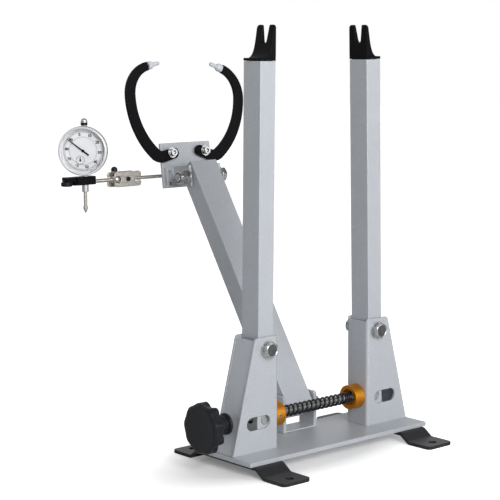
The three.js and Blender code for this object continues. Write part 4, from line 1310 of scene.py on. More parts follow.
@dataclass
class Base:
    """The base plate, its straps and what is welded or bolted to it."""

    layout: Layout
    length: float = 275.0
    width: float = 96.0
    plate: float = 5.0
    corner: float = 0.8
    strap_width: float = 40.0
    strap_length: float = 191.0
    strap: float = 4.0
    rise: float = 8.5
    strap_inset: float = 25.5
    flat: float = 100.0
    joggle: float = 12.0
    hole: float = 4.5
    hole_inset: float = 13.5
    pivot_inset: float = 52.2
    tube_depth: float = 28.0
    sheet: float = 3.0
    bend: float = 4.0
    height: float = 127.0
    foot_reach: float = 66.2
    head_reach: float = 33.3
    setback: float = 15.6
    web_drop: float = 3.0
    pivot_rise: float = 113.0
    lever_drop: float = 78.99
    window: tuple[float, float, float, float] = (34.0, 15.0, 29.0, 32.3)
    plate_edge: float = 0.6
    strap_bend: float = 7.0
    strap_corner: float = 6.0
    clear: float = 20.0
    countersink: float = 1.0
    bench_seat: float = 0.5
    fit: float = 0.3
    lip: float = 2.0
    shoulder: float = 4.5
    sheet_edge: float = 0.45
    cover_edge: float = 0.4
    arm_bracket_edge: float = 0.7
    bolt_hole: float = 5.3
    rod_hole: float = 4.5
    nut_gap: float = 0.1

    def build(self) -> None:
        """Builds every piece that stays with the base."""
        self.plate_and_straps()
        for hand in Hand:
            self.bracket(hand)
            self.cover(hand)
        self.arm_bracket()
        self.fasteners()

    def plate_and_straps(self) -> None:
        """The plate and the two joggled straps under it."""
        top = self.rise + self.strap + self.plate
        plate = Solid.prism(
            rounded_rectangle(self.length, self.width, self.corner, 4), top - self.plate, top,
        )
        add_piece(
            plate.softened(self.plate_edge, 3), self.layout.at(), "base_plate_coated", "base",
            Finishes.SILVER, "base_plate",
        )
        inner, outer, end = self.flat / 2, self.flat / 2 + self.joggle, self.strap_length / 2
        middle = self.strap / 2
        half = [(-end, middle), (-outer, middle), (-inner, self.rise + middle)]
        line = filleted([*half, *[(-y, z) for y, z in half[::-1]]], self.strap_bend, 8, closed=False)
        for hand in Hand:
            bent = Solid.prism(
                thickened(line, [self.strap] * len(line)), -self.strap_width / 2, self.strap_width / 2,
                Facing.SIDE,
            )
            plan = rounded_rectangle(self.strap_width, self.strap_length, self.strap_corner, 10)
            strap = bent.common(Solid.prism(plan, -OVERRUN, self.clear))
            for side in (-1, 1):
                wide, above = self.hole + self.countersink, self.strap + self.bench_seat
                hole = Solid.turned([
                    (0, -1), (self.hole, -1), (self.hole, self.strap - self.bench_seat), (wide, above),
                    (0, above),
                ])
                strap = strap.cut(hole.moved(shift(0, side * (end - self.hole_inset), 0)))
            name = f"{hand.label}_foot_strap_coated"
            place = self.layout.at(hand.value * (self.length / 2 - self.strap_inset))
            add_piece(
                strap.softened(self.plate_edge), place, name, "base", Finishes.BLACK,
                f"{hand.label}_foot_strap",
            )

    def bracket(self, hand: Hand) -> None:
        """A folded bracket with its slot windows, bolt holes and rod hole.

        Args:
            hand: Side of the stand.
        """
        half = self.tube_depth / 2 + self.fit + self.sheet
        reach, bend, sheet = self.foot_reach + self.lip, self.bend, self.sheet
        beyond = half + OVERRUN
        plan = [
            *arc((bend, -half + bend), bend, 270, 180, 10), *arc((bend, half - bend), bend, 180, 90, 10),
            (reach, half), (reach, half - sheet),
            (sheet, half - sheet), (sheet, sheet - half),
            (reach, -half + sheet), (reach, -half),
        ]
        start, end = (self.foot_reach, 0), (-1, self.height)
        slant = filleted([start, (self.head_reach, self.height), end], self.shoulder, 8, closed=False)
        side = [(-1, 0), start, *slant[1:-1], end]
        length, height, across, up = self.window
        rounding = height / 2 - HAIR
        window = [(x + across, y + up) for x, y in rounded_rectangle(length, height, rounding, 12)]
        shell = Solid.prism(plan, 0, self.height).common(Solid.prism(side, -beyond, beyond, Facing.FRONT))
        bolt = Solid.rod(self.bolt_hole, -beyond, beyond, Facing.FRONT)
        rod = Solid.rod(self.rod_hole, -OVERRUN, sheet + OVERRUN, Facing.SIDE)
        gap = (self.height - self.web_drop, self.height + OVERRUN)
        shell = shell.cut(
            Solid.prism(window, -beyond, beyond, Facing.FRONT),
            bolt.moved(shift(self.setback, 0, self.pivot_rise)),
            rod.moved(shift(0, 0, self.pivot_rise - self.lever_drop)),
            Solid.block((-OVERRUN, sheet + self.fit), (sheet - half, half - sheet), gap),
        )
        name = f"{hand.label}_bracket_coated"
        place = shift(self.length / 2 - self.pivot_inset - self.setback, 0, self.layout.plate_top)
        add_piece(
            shell.moved(place).on(hand).softened(self.sheet_edge), self.layout.at(), name, "base",
            Finishes.SILVER, f"{hand.label}_bracket",
        )

    def cover(self, hand: Hand) -> None:
        """The slanted plate between the bracket's edges."""
        self.layout.recoat(f"{hand.label}_bracket_cover", "base", Finishes.SILVER, self.cover_edge)

    def arm_bracket(self) -> None:
        """The folded bracket of the gauge arm."""
        self.layout.recoat("arm_bracket", "base", Finishes.SILVER, self.arm_bracket_edge, 3)

    def fasteners(self) -> None:
        """The three pivot bolts and their lock nuts, each set on its own point."""
        parts = HexParts()
        left, right = self.layout.pivot("left_upright_tilt"), self.layout.pivot("right_upright_tilt")
        half = self.tube_depth / 2 + self.fit + self.sheet + self.nut_gap
        front, side = Vector((0, -1, 0)), Vector((1, 0, 0))
        arm = self.layout.pivot("arm_tilt")
        arm_half = self.layout.box("arm_pivot_bolt")[1].x - self.layout.home.x
        arm_seat = arm_half - parts.washer_thickness - parts.head
        head = parts.bolt(2 * half + parts.washer_thickness + parts.nut + parts.tail)
        seats = [left + front * half, right + front * half, arm + side * arm_seat], [front, front, side]
        heads = self._set(head, *seats, Finishes.ZINC)
        add_piece(
            heads, IN_FRAME, "pivot_bolts", "base", Finishes.ZINC, "left_pivot_bolt", "right_pivot_bolt",
            "arm_pivot_bolt",
        )
        # the dark face discs are a painted reflection on the bolt heads
        faces = self._set(parts.face(), *seats, Finishes.BOLT_FACE)
        add_piece(faces, IN_FRAME, "pivot_bolt_faces", "base", Finishes.BOLT_FACE)
        nuts = self._set(
            parts.nut_body(), [left - front * half, right - front * half, arm - side * arm_seat],
            [-front, -front, -side], Finishes.ZINC,
        )
        add_piece(
            nuts, IN_FRAME, "pivot_nuts", "base", Finishes.ZINC, "left_pivot_nut", "right_pivot_nut",
            "arm_pivot_nut",
        )

    @staticmethod
    def _set(shape: Solid, points: Sequence[Vector], facings: Sequence[Vector], finish: Finish) -> Solid:
        """Copies of a fastener on points.

        Args:
            shape: The fastener.
            points: Its places.
            facings: A turn for each place.
            finish: Its finish.

        Returns:
            The solid with all the copies.
        """
        master = shape.as_object()
        placed = grown(Trees.copies(), finish, {"Fastener": master}, points_mesh(points, facings))
        bpy.data.objects.remove(master)
        return placed


@dataclass
class Upright:
    """One upright: its tube, dropout tip, pivot sleeve and barrel nut."""

    layout: Layout
    hand: Hand
    width: float = 22.0
    depth: float = 28.0
    wall: float = 2.0
    above: float = 314.0
    below: float = 103.0
    lean: float = 0.92
    lever: float = 79.0
    tip_height: float = 35.8
    foot: float = 15.8
    top: float = 3.0
    mouth: float = 11.5
    corner: float = 1.0
    sleeve_radius: float = 7.2
    slot: float = 4.3
    slot_floor: float = 15.0
    inner_corner: float = 0.8
    cross_hole: float = 6.1
    bolt_hole: float = 5.3
    fit: float = 0.3
    tube_edge: float = 0.3
    tip_edge: float = 0.7
    fork_corner: float = 4.0
    lip: Point = (0.45, 1.6)
    lip_reach: Point = (3.0, 1.0)
    flare_pull_shares: Point = (0.38, 0.486)
    flare_foot_shares: Point = (0.443, 0.068)
    flare_steps: int = 24
    cap: float = 3.0
    cap_edge: float = 0.4
    plug_gap: float = 0.3
    plug: float = 14.0
    plug_corner: float = 0.5
    sink: float = 0.5
    barrel_radius: float = 5.8
    screw_bore: float = 4.5

    @property
    def body(self) -> str:
        """The body that the upright rides on."""
        return f"{self.hand.label}_upright"

    @property
    def place(self) -> Matrix:
        """The leaning frame at the pivot."""
        pivot = self.layout.pivot(f"{self.hand.label}_upright_tilt")
        return Matrix.Translation(pivot) @ turn(-self.hand.value * self.lean, "Y")

    def build(self) -> None:
        """Builds the upright."""
        self.tube()
        self.tip()
        self.sleeve()
        self.barrel()

    def tube(self) -> None:
        """The rectangular tube, open below, with its cross holes."""
        wall = 2 * self.wall
        inner = rounded_rectangle(self.width - wall, self.depth - wall, self.inner_corner, 3)
        outer = rounded_rectangle(self.width, self.depth, self.corner, 6)
        tube = Solid.prism(outer, -self.below, self.above, holes=[inner])
        down = shift(0, 0, -self.lever)
        tube = tube.cut(
            Solid.rod(self.sleeve_radius + self.fit, -self.depth, self.depth, Facing.FRONT),
            Solid.rod(self.cross_hole, -self.depth, self.depth, Facing.FRONT).moved(down),
            Solid.rod(self.cross_hole, -self.width, self.width, Facing.SIDE).moved(down),
        )
        name = f"{self.body}_tube_coated"
        add_piece(
            tube.softened(self.tube_edge), self.place, name, self.body, Finishes.SILVER, f"{self.body}_tube"
        )

    def tip(self) -> None:
        """The black dropout tip: a flared fork on a cap."""
        width, depth = self.width + 2 * self.fit, self.depth + 2 * self.fit
        face, half, high = width / 2, depth / 2, self.tip_height
        start, end = Vector((face - self.top, high)), Vector((face - self.foot, 0))
        upper, lower = (
            Vector((face - self.foot * across, high * up))
            for across, up in (self.flare_pull_shares, self.flare_foot_shares)
        )
        curve = []
        for i in range(self.flare_steps + 1):
            t = i / self.flare_steps
            u = 1 - t
            p = start * u**3 + upper * 3 * t * u**2 + lower * 3 * t**2 * u + end * t**3
            curve.append((p.x, p.y))
        flare = [(face, 0), (face, high), *curve]
        slot_z, wide = self.slot_floor + self.slot, self.mouth / 2
        near, far = self.lip
        across, up = self.lip_reach
        edge = [
            (wide + across, high + up), (wide + far, high), (wide + near, high - near), (wide, high - far),
        ]
        slot = [*edge, *arc((0, slot_z), self.slot, 0, -180, 24), *[(-x, y) for x, y in edge[::-1]]]
        corner = self.fork_corner
        outline = [
            (-half, 0), (half, 0), *arc((half - corner, high - corner), corner, 0, 90, 8),
            *arc((corner - half, high - corner), corner, 90, 180, 8),
        ]
        plan = rounded_rectangle(width, depth, self.corner, 6)
        fork = Solid.prism(flare, -half, half, Facing.FRONT).common(
            Solid.prism(outline, -width, width, Facing.SIDE),
            Solid.prism(plan, -OVERRUN, high + OVERRUN),
        ).cut(Solid.prism(slot, -width, width, Facing.SIDE)).softened(self.tip_edge, 3)
        cap = Solid.prism(plan, -self.cap, 2 * HAIR).softened(self.cap_edge)
        less = 2 * (self.wall + self.plug_gap)
        plug = Solid.prism(
            rounded_rectangle(self.width - less, self.depth - less, self.plug_corner, 4),
            -self.cap - self.plug, self.sink - self.cap,
        )
        name = f"{self.hand.label}_dropout_tip_coated"
        # the fork is drawn with its straight face at +X, which is inwards on the left
        made = fork.with_parts(cap, plug).on(Hand.RIGHT if self.hand is Hand.LEFT else Hand.LEFT)
        place = self.place @ shift(0, 0, self.above + self.cap + self.fit)
        add_piece(made, place, name, self.body, Finishes.JET, f"{self.hand.label}_dropout_tip")

    def sleeve(self) -> None:
        """The sleeve that the tube tilts on."""
        half = self.depth / 2
        ring = Solid.prism(
            circle(self.sleeve_radius, 40), -half, half, Facing.FRONT, holes=[circle(self.bolt_hole, 40)],
        ).softened(self.tube_edge)
        name = f"{self.hand.label}_pivot_sleeve_turned"
        add_piece(ring, self.place, name, self.body, Finishes.ZINC, f"{self.hand.label}_pivot_sleeve")

    def barrel(self) -> None:
        """The barrel nut on the screw."""
        half = self.depth / 2
        across = 2 * self.screw_bore
        bore = Solid.rod(self.screw_bore, -across, across, Facing.SIDE)
        body = Solid.rod(self.barrel_radius, -half, half, Facing.FRONT, steps=48).cut(bore)
        body = body.softened(self.cap_edge)
        name = f"{self.hand.label}_barrel_nut_turned"
        pivot = self.layout.pivot(f"{self.hand.label}_nut_turn")
        add_piece(
            body, Matrix.Translation(pivot), name, f"{self.hand.label}_nut", Finishes.ZINC,
            f"{self.hand.label}_barrel_nut",
        )


@dataclass
class Screw:
    """The adjusting screw: rod, knob, washer, collars and spring."""

    layout: Layout
    radius: float = 4.0
    pitch: float = 1.25
    knob_radius: float = 28.5
    lobes: int = 9
    lobe_depth: float = 5.0
    face_depth: float = 1.2
    knob_thickness: float = 15.0
    knob_length: float = 38.0
    knob_turn: float = 16.0
    collar_radius: float = 14.3
    collar_length: float = 14.4
    recess: float = 5.5
    recess_radius: float = 9.2
    coil: float = 5.6
    wire: float = 2.6
    open_turns: float = 14.5
    close_turns: float = 2.5
    close_pitch: float = 3.4
    thread_depth: float = 0.5
    thread_gap: float = 0.05
    thread_end: float = 1.2
    thread_start: float = 0.4
    thread_short: float = 1.5
    neck: tuple[Point, ...] = ((12, 0), (12, 3), (9, 3.8), (9, 6), (11, 7), (12, 14))
    back: tuple[Point, ...] = ((14.5, 0.6), (20, 0.3))
    rim_ease: float = 1.8
    rim_rows: tuple[int, ...] = (0, 2, 4, 6, 8)
    rim_front: Point = (2.4, 0.5)
    front: tuple[Point, ...] = ((18, 0.4), (12, 0.6))
    front_ease: Point = (4.5, 0.05)
    knob_corner: float = 1.3
    lobe_start: float = 15.0
    lobe_margin: float = 1.0
    lobe_front: float = 2.0
    washer_radius: float = 8.0
    bore: float = 4.3
    washer_edge: float = 0.3
    collar_corner: float = 0.8
    set_hole: float = 2.3
    set_radius: float = 2.0
    set_inset: float = 3.2
    set_sink: float = 0.4
    set_edge: float = 0.2
    socket: float = 1.1
    socket_depth: float = 2.9
    spring_gap: float = 0.3
    coil_steps: int = 28

    def __post_init__(self) -> None:
        """Finds the screw's axis and its places along it."""
        self.place = Matrix.Translation(self.layout.pivot("screw_turn"))
        x = self.layout.pivot("screw_turn").x
        self.rod_ends = [corner.x - x for corner in self.layout.box("screw_rod")]
        self.collar_x = self.layout.box("right_collar")[1].x - x
        self.knob_x = x - self.layout.box("screw_knob")[1].x
        self.washer_ends = [corner.x - x for corner in self.layout.box("knob_washer")]

    def build(self) -> None:
        """Builds what turns with the screw."""
        self.rod()
        self.knob()
        self.washer()
        for hand in Hand:
            self.collar(hand)
        self.spring()

    def rod(self) -> None:
        """The rod with its thread cut from the knob to its right end."""
        low, high = self.rod_ends
        core = self.radius - self.thread_depth - self.thread_gap
        end = self.thread_end
        bar = Solid.turned(
            [(0, low), (core, low), (core, high - end), (core - end, high), (0, high)], Facing.SIDE,
            steps=32,
        )
        thread = grown(Trees.thread(), Finishes.THREAD, {
            "Radius": self.radius - self.thread_gap, "Pitch": self.pitch,
            "Length": high - low - self.thread_short, "Depth": self.thread_depth,
        }).moved(Facing.SIDE.matrix).moved(shift(low + self.thread_start))
        add_piece(
            bar.with_parts(thread), self.place, "screw_rod_threaded", "screw", Finishes.THREAD, "screw_rod",
        )

    def knob(self) -> None:
        """The lobed knob, drawn out of a turned shape, with its neck and flange."""
        rim = self.knob_radius
        long = self.knob_length
        back = long - self.knob_thickness
        ease, (upper, crown), (inward, dip) = self.rim_ease, self.rim_front, self.front_ease
        outline = [
            *self.neck, *[(radius, back + rise) for radius, rise in self.back], (rim - ease, back),
            *[(rim, back + ease + step) for step in self.rim_rows], (rim, long - upper),
            (rim - ease, long - crown), (rim - inward, long - dip),
            *[(radius, long - fall) for radius, fall in self.front],
        ]
        profile = filleted(outline, self.knob_corner, 4, closed=False)
        shape = Solid.turned([(0, 0), *profile, (0, long - self.front[-1][1])], steps=216)
        mesh = bpy.data.meshes.new("scratch")
        shape.bm.to_mesh(mesh)
        drawn = grown(Trees.lobes(), Finishes.PLASTIC, {
            "Lobes": self.lobes, "Depth": self.lobe_depth, "Inner": self.lobe_start,
            "Outer": rim - self.lobe_margin, "Face Depth": self.face_depth, "Back": back,
            "Face": long - self.lobe_front,
        }, mesh)
        place = self.place @ shift(-self.knob_x) @ turn(180, "Z")
        place = place @ turn(self.knob_turn, "X") @ Facing.SIDE.matrix
        add_piece(drawn, place, "screw_knob_moulded", "screw", Finishes.PLASTIC, "screw_knob")

    def washer(self) -> None:
        """The thrust washer between the knob and the bracket."""
        low, high = self.washer_ends
        ring = Solid.prism(
            circle(self.washer_radius, 56), low, high, Facing.SIDE, holes=[circle(self.bore, 40)],
        ).softened(self.washer_edge)
        add_piece(ring, self.place, "knob_washer_turned", "screw", Finishes.BRASS, "knob_washer")

    def collar(self, hand: Hand) -> None:
        """An anodised collar with its recess and set screw.

        Args:
            hand: Side of the stand.
        """
        length, deep = self.collar_length, self.collar_length - self.recess
        profile = filleted([
            (self.bore, 0), (self.collar_radius, 0), (self.collar_radius, length),
            (self.recess_radius, length), (self.recess_radius, deep), (self.bore, deep),
        ], self.collar_corner, 4)
        along = shift(deep - self.set_inset)
        hole = Solid.rod(self.set_hole, 0, 2 * self.collar_radius, Facing.FRONT)
        ring = Solid.turned(profile, Facing.SIDE, steps=96, ring=True).cut(hole.moved(along))
        spin = turn(180, "Z") if hand is Hand.RIGHT else IN_FRAME
        place = self.place @ shift(hand.value * self.collar_x) @ spin
        name = f"{hand.label}_collar_anodised"
        add_piece(ring, place, name, "screw", Finishes.GOLD, f"{hand.label}_collar")
        top = self.collar_radius - self.set_sink
        socket = Solid.prism(
            circle(self.socket, 6), top - self.socket_depth, top + self.set_sink, Facing.FRONT,
        )
        grub = Solid.rod(self.set_radius, self.bore, top, Facing.FRONT, steps=32).cut(socket)
        grub = grub.softened(self.set_edge)
        name = f"{hand.label}_set_screw"
        add_piece(grub.moved(along), place, name, "screw", Finishes.ZINC, f"{hand.label}_collar_screw")

    def spring(self) -> None:
        """One wound wire whose turns close up towards the right end."""
        half = self.collar_x - self.collar_length + self.recess - self.spring_gap
        turns = self.open_turns + self.close_turns
        straight = 2 * self.wire
        pitch = (2 * half - 2 * straight - self.close_turns * self.close_pitch) / self.open_turns
        points = [Vector((-half, 0, self.coil)), Vector((-half + self.wire, 0, self.coil))]
        x = -half + straight
        count = round(turns * self.coil_steps)
        for i in range(count + 1):
            done = turns * i / count
            angle = 2 * math.pi * done
            points.append(Vector((x, self.coil * math.sin(angle), self.coil * math.cos(angle))))
            ease = min(max((done - self.open_turns) * 2 + 0.5, 0), 1)
            x += (pitch + (self.close_pitch - pitch) * ease) * turns / count
        angle = 2 * math.pi * turns
        last = Vector((0, self.coil * math.sin(angle), self.coil * math.cos(angle)))
        points += [last + Vector((half - self.wire, 0, 0)), last + Vector((half, 0, 0))]
        wire = grown(
            Trees.wire(), Finishes.SPRING, {"Radius": self.wire / 2, "Sides": 14}, points_mesh(points),
        )
        add_piece(wire, self.place, "screw_spring_wound", "screw", Finishes.SPRING, "screw_spring")


@dataclass
class GaugeArm:
    """The tube that carries the head."""

    layout: Layout
    width: float = 40.0
    depth: float = 25.0
    wall: float = 2.0
    corner: float = 1.2
    span: float = 307.0
    top_end: float = 15.0
    bottom_end: float = 9.0
    inner_corner: float = 0.8
    bolt_hole: float = 5.3
    edge: float = 0.3

    def build(self) -> None:
        """Builds the tube along the line between its two pivots."""
        low, high = self.layout.pivot("arm_tilt"), self.layout.pivot("head_tilt")
        up = (high - low).normalized()
        side = Vector((1, 0, 0))
        place = axes(low, side, up.cross(side))
        wall = 2 * self.wall
        inner = rounded_rectangle(self.width - wall, self.depth - wall, self.inner_corner, 3)
        outer = rounded_rectangle(self.width, self.depth, self.corner, 6)
        tube = Solid.prism(outer, -self.bottom_end, self.span + self.top_end, holes=[inner]).cut(*[
            Solid.rod(self.bolt_hole, -self.width, self.width, Facing.SIDE).moved(shift(0, 0, z))
            for z in (0, self.span)
        ])
        add_piece(
            tube.softened(self.edge), place, "gauge_arm_coated", "gauge_arm", Finishes.SILVER, "gauge_arm",
        )


@dataclass
class Head:
    """The plate and angles on the gauge arm, the caliper arms and their feeler tips."""

    layout: Layout
    width: float = 78.0
    height: float = 55.0
    sheet: float = 3.0
    below: float = 11.1
    standoff: float = 28.3
    spacing: float = 52.0
    caliper_rise: float = 31.6
    thickness: float = 4.6
    root_width: float = 13.0
    body_width: float = 14.9
    elbow_width: float = 13.9
    tip_width: float = 10.7
    drop: float = 1.5
    root_angle: float = 192.3
    root_length: float = 11.3
    arcs: tuple[tuple[float, float], ...] = ((14.4, 55.0), (92.4, 50.4), (36.7, 75.9))
    inner_left: float = 11.1
    inner_right: float = 13.2
    spread: float = 9.1
    angle_screws: tuple[Point, ...] = ((-31.0, 8.4), (-31.5, -6.0))
    caliper_hole: float = 3.3
    plate_corner: float = 1.2
    plate_edge: float = 0.4
    angle_edge: float = 0.5
    screw_radius: float = 2.3
    screw_height: float = 0.5
    screw_edge: float = 0.2
    screw_back: float = 3.6
    driver_length: float = 1.6
    driver_width: float = 0.35
    driver_depth: Point = (-0.9, -0.2)
    driver_turn: float = 35.0
    stack: Size = (10.5, 8.5, 10.0)
    collar: Size = (7.0, 5.2, 3.5)
    collar_edge: float = 0.5
    insert: Size = (6.2, 5.1, 13.0)
    insert_height: float = 0.7
    insert_edge: float = 0.25
    arm_edge: float = 0.9
    tip_hole: float = 1.8
    tip_hole_depth: float = 11.3
    plate_gap: float = 1.0
    bolt_washer: Point = (6.5, 1.2)
    bolt_washer_edge: float = 0.3
    bolt_head: Point = (4.6, 4.4)
    bolt_head_edge: float = 0.45
    bolt_seat: float = 0.3
    bolt_tail: float = 5.0
    bolt_radius: float = 2.9
    bolt_edge: float = 0.5
    socket: float = 2.4
    socket_floor: float = 2.0
    nib: float = 2.5
    nib_end: float = 19.0
    feeler_root: float = 11.0
    feeler_profile: tuple[Point, ...] = (
        (1.5, -11), (1.5, 0.3), (5, 0.3), (5, 5), (3.4, 8), (2.5, 8.2), (2.5, 16.6),
    )

    def build(self) -> None:
        """Builds the head and all that it carries up to the feeler tips."""
        self.place = self.layout.head()
        self.plate()
        self.angles()
        self.pivot()
        for hand in Hand:
            self.caliper(hand)
            self.caliper_bolt(hand)
            self.feeler(hand)

    def plate(self) -> None:
        """The flat plate with its two bolt holes."""
        x, low, high = self.width / 2, -self.below, self.height - self.below
        outline = [(-x, low), (x, low), (x, high), (-x, high)]
        places = [(side * self.spacing / 2, self.caliper_rise) for side in (-1, 1)]
        plate = Solid.prism(
            filleted(outline, self.plate_corner, 4), -self.standoff - self.sheet, -self.standoff,
            Facing.FRONT, holes=[circle(self.caliper_hole, 32, place) for place in places],
        )
        add_piece(
            plate.softened(self.plate_edge), self.place, "head_plate_coated", "head", Finishes.SILVER,
            "head_plate",
        )

    def angles(self) -> None:
        """The two angle pieces, and the countersunk screws that hold the left one."""
        for hand in Hand:
            self.layout.recoat(f"{hand.label}_head_angle", "head", Finishes.SILVER, self.angle_edge)
        parts = None
        long, wide = self.driver_length, self.driver_width
        for x, z in self.angle_screws:
            screw = Solid.rod(self.screw_radius, 0, self.screw_height, Facing.FRONT, steps=40)
            slot = Solid.block((-long, long), self.driver_depth, (-wide, wide))
            slot = slot.moved(turn(self.driver_turn, "Y"))
            placed = screw.softened(self.screw_edge).cut(slot)
            placed = placed.moved(shift(x, self.standoff - self.screw_back, z))
            parts = placed if parts is None else parts.with_parts(placed)
        add_piece(parts, self.place, "head_angle_screws", "head", Finishes.SMALL_ZINC)

    def pivot(self) -> None:
        """The head's bolt, and the stack of washer, nut, dark insert and bolt end at its left."""
        parts = HexParts()
        x = self.layout.pivot("head_tilt").x
        low = self.layout.box("head_pivot_bolt")[0]
        seat = x - self.layout.box("head_pivot_nut")[1].x
        out = self.place @ turn(90, "Y") @ shift(0, 0, seat)
        bolt = parts.bolt(seat + x - low.x)
        add_piece(bolt, out, "head_pivot_bolt_plated", "head", Finishes.ZINC, "head_pivot_bolt")
        add_piece(parts.face(), out, "head_bolt_face", "head", Finishes.BOLT_FACE)
        washer, nut, start = self.stack
        stack = HexParts(washer=washer, nut=nut)
        back = self.place @ turn(-90, "Y") @ shift(0, 0, seat)
        outer, bore, height = self.collar
        ring = Solid.prism(circle(outer, 56), start, start + height, holes=[circle(bore, 40)])
        ring = ring.softened(self.collar_edge)
        add_piece(
            stack.nut_body().with_parts(ring), back, "head_pivot_nut_plated", "head", Finishes.ZINC,
            "head_pivot_nut",
        )
        outer, bore, start = self.insert
        insert = Solid.prism(circle(outer, 56), start, start + self.insert_height, holes=[circle(bore, 56)])
        insert = insert.softened(self.insert_edge)
        add_piece(insert, back, "head_nut_insert", "head", Finishes.RUBBER)

    def centre_line(self, inner: float, steps: int = 20) -> tuple[list[Point], list[float], float]:
        """The caliper's centre line, its widths and the heading at its end.

        Args:
            inner: How far the arm reaches past its bolt.
            steps: Steps of each arc.

        Returns:
            The points from the bolt's end to the tip, the width at each, and the last heading.
        """
        def ease(share: float) -> float:
            """A share that starts and ends slowly."""
            return share * share * (3 - 2 * share)

        heading = math.radians(self.root_angle)
        point = Vector((self.root_width / 2 - inner, self.drop))
        point.rotate(Matrix.Rotation(heading, 2))
        line, widths = [tuple(point)], [self.root_width]
        middle = (self.root_width + self.body_width) / 2
        swell = (self.body_width - self.root_width) / 2

        def advance(length: float, width: float) -> None:
            """Goes one step on along the heading.

            Args:
                length: How far.
                width: The arm's width there.
            """
            point.xy = point.x + length * math.cos(heading), point.y + length * math.sin(heading)
            line.append(tuple(point))
            widths.append(width)

        straight = self.root_length + inner - self.root_width / 2
        for i in range(steps):
            advance(straight / steps, self.root_width + swell * ease((i + 1) / steps))
        rules = (
            lambda share: middle + swell * ease(share),
            lambda share: self.body_width + (self.elbow_width - self.body_width) * share,
            lambda share: self.elbow_width + (self.tip_width - self.elbow_width) * ease(share),
        )
        for (radius, sweep), width in zip(self.arcs, rules):
            step = math.radians(sweep) / steps
            for i in range(steps):
                heading -= step / 2
                advance(2 * radius * math.sin(step / 2), width((i + 1) / steps))
                heading -= step / 2
        return line, widths, heading

    def swing(self, hand: Hand) -> Matrix:
        """The frame of a caliper arm at its bolt.

        Args:
            hand: Side of the head.

        Returns:
            The frame.
        """
        spread = self.spread if hand is Hand.RIGHT else 0
        pivot = self.place.inverted() @ self.layout.pivot(f"{hand.label}_caliper_swing")
        return self.place @ Matrix.Translation(pivot) @ turn(spread, "Y")

    def caliper(self, hand: Hand) -> None:
        """A caliper arm: a curved bar that is widest in its middle.

        Args:
            hand: Side of the head.
        """
        inner = self.inner_left if hand is Hand.LEFT else self.inner_right
        line, widths, heading = self.centre_line(inner)
        outline = thickened(line, widths)
        angle = math.degrees(math.atan2(line[1][1] - line[0][1], line[1][0] - line[0][0]))
        outline += arc(line[0], widths[0] / 2, angle + 90, angle + 270, 14)[1:-1]
        bar = Solid.prism(outline, -self.thickness, 0, Facing.FRONT)
        tip = Matrix.Translation((line[-1][0], self.thickness / 2, line[-1][1]))
        tip = tip @ turn(-math.degrees(heading), "Y")
        bar = bar.cut(
            Solid.rod(self.caliper_hole, -self.thickness - OVERRUN, OVERRUN, Facing.FRONT),
            Solid.rod(self.tip_hole, -self.tip_hole_depth, OVERRUN, Facing.SIDE).moved(tip),
        ).softened(self.arm_edge, 3, 40)
        name = f"{hand.label}_caliper_arm_coated"
        made = bar.on(Hand.RIGHT if hand is Hand.LEFT else Hand.LEFT)
        add_piece(
            made, self.swing(hand), name, f"{hand.label}_caliper", Finishes.JET, f"{hand.label}_caliper_arm"
        )

    def caliper_bolt(self, hand: Hand) -> None:
        """A socket screw with its washer.

        Args:
            hand: Side of the head.
        """
        reach = self.sheet + self.plate_gap + self.thickness + 2 * self.bolt_seat + self.bolt_tail
        radius, seat = self.bolt_washer
        disc = Solid.rod(radius, 0, seat, Facing.FRONT, steps=56).softened(self.bolt_washer_edge)
        radius, height = self.bolt_head
        floor = seat + self.socket_floor
        socket = Solid.prism(circle(self.socket, 6), floor, seat + height + OVERRUN, Facing.FRONT)
        head = Solid.rod(radius, seat, seat + height, Facing.FRONT, steps=56).cut(socket)
        head = head.softened(self.bolt_head_edge)
        shank = Solid.rod(self.bolt_radius, -reach, 0.5, Facing.FRONT, steps=32).softened(self.bolt_edge)
        y = self.standoff - self.plate_gap - self.thickness - self.bolt_seat
        place = self.place @ shift(hand.value * self.spacing / 2, y, self.caliper_rise)
        name = f"{hand.label}_caliper_bolt_plated"
        add_piece(
            disc.with_parts(head, shank), place, name, "head", Finishes.ZINC, f"{hand.label}_caliper_bolt",
        )

    def feeler(self, hand: Hand) -> None:
        """A nylon feeler tip, turned with a collar, a waist and a round nib.

        Args:
            hand: Side of the head.
        """
        inner = self.inner_left if hand is Hand.LEFT else self.inner_right
        line, _, heading = self.centre_line(inner)
        round_end = arc((0, self.nib_end - self.nib), self.nib, 0, 80, 8)
        body = filleted(self.feeler_profile, self.bolt_edge, 4, closed=False)
        profile = [(0, -self.feeler_root), *body, *round_end, (0, self.nib_end)]
        turned = Solid.turned(profile, Facing.SIDE, steps=48)
        side = -hand.value
        at = Matrix.Translation((side * line[-1][0], self.thickness / 2, line[-1][1]))
        degrees = math.degrees(heading)
        place = self.swing(hand) @ at @ turn(-degrees if hand is Hand.LEFT else 180 + degrees, "Y")
        name = f"{hand.label}_feeler_tip_turned"
        add_piece(turned, place, name, f"{hand.label}_feeler", Finishes.NYLON, f"{hand.label}_feeler_tip")


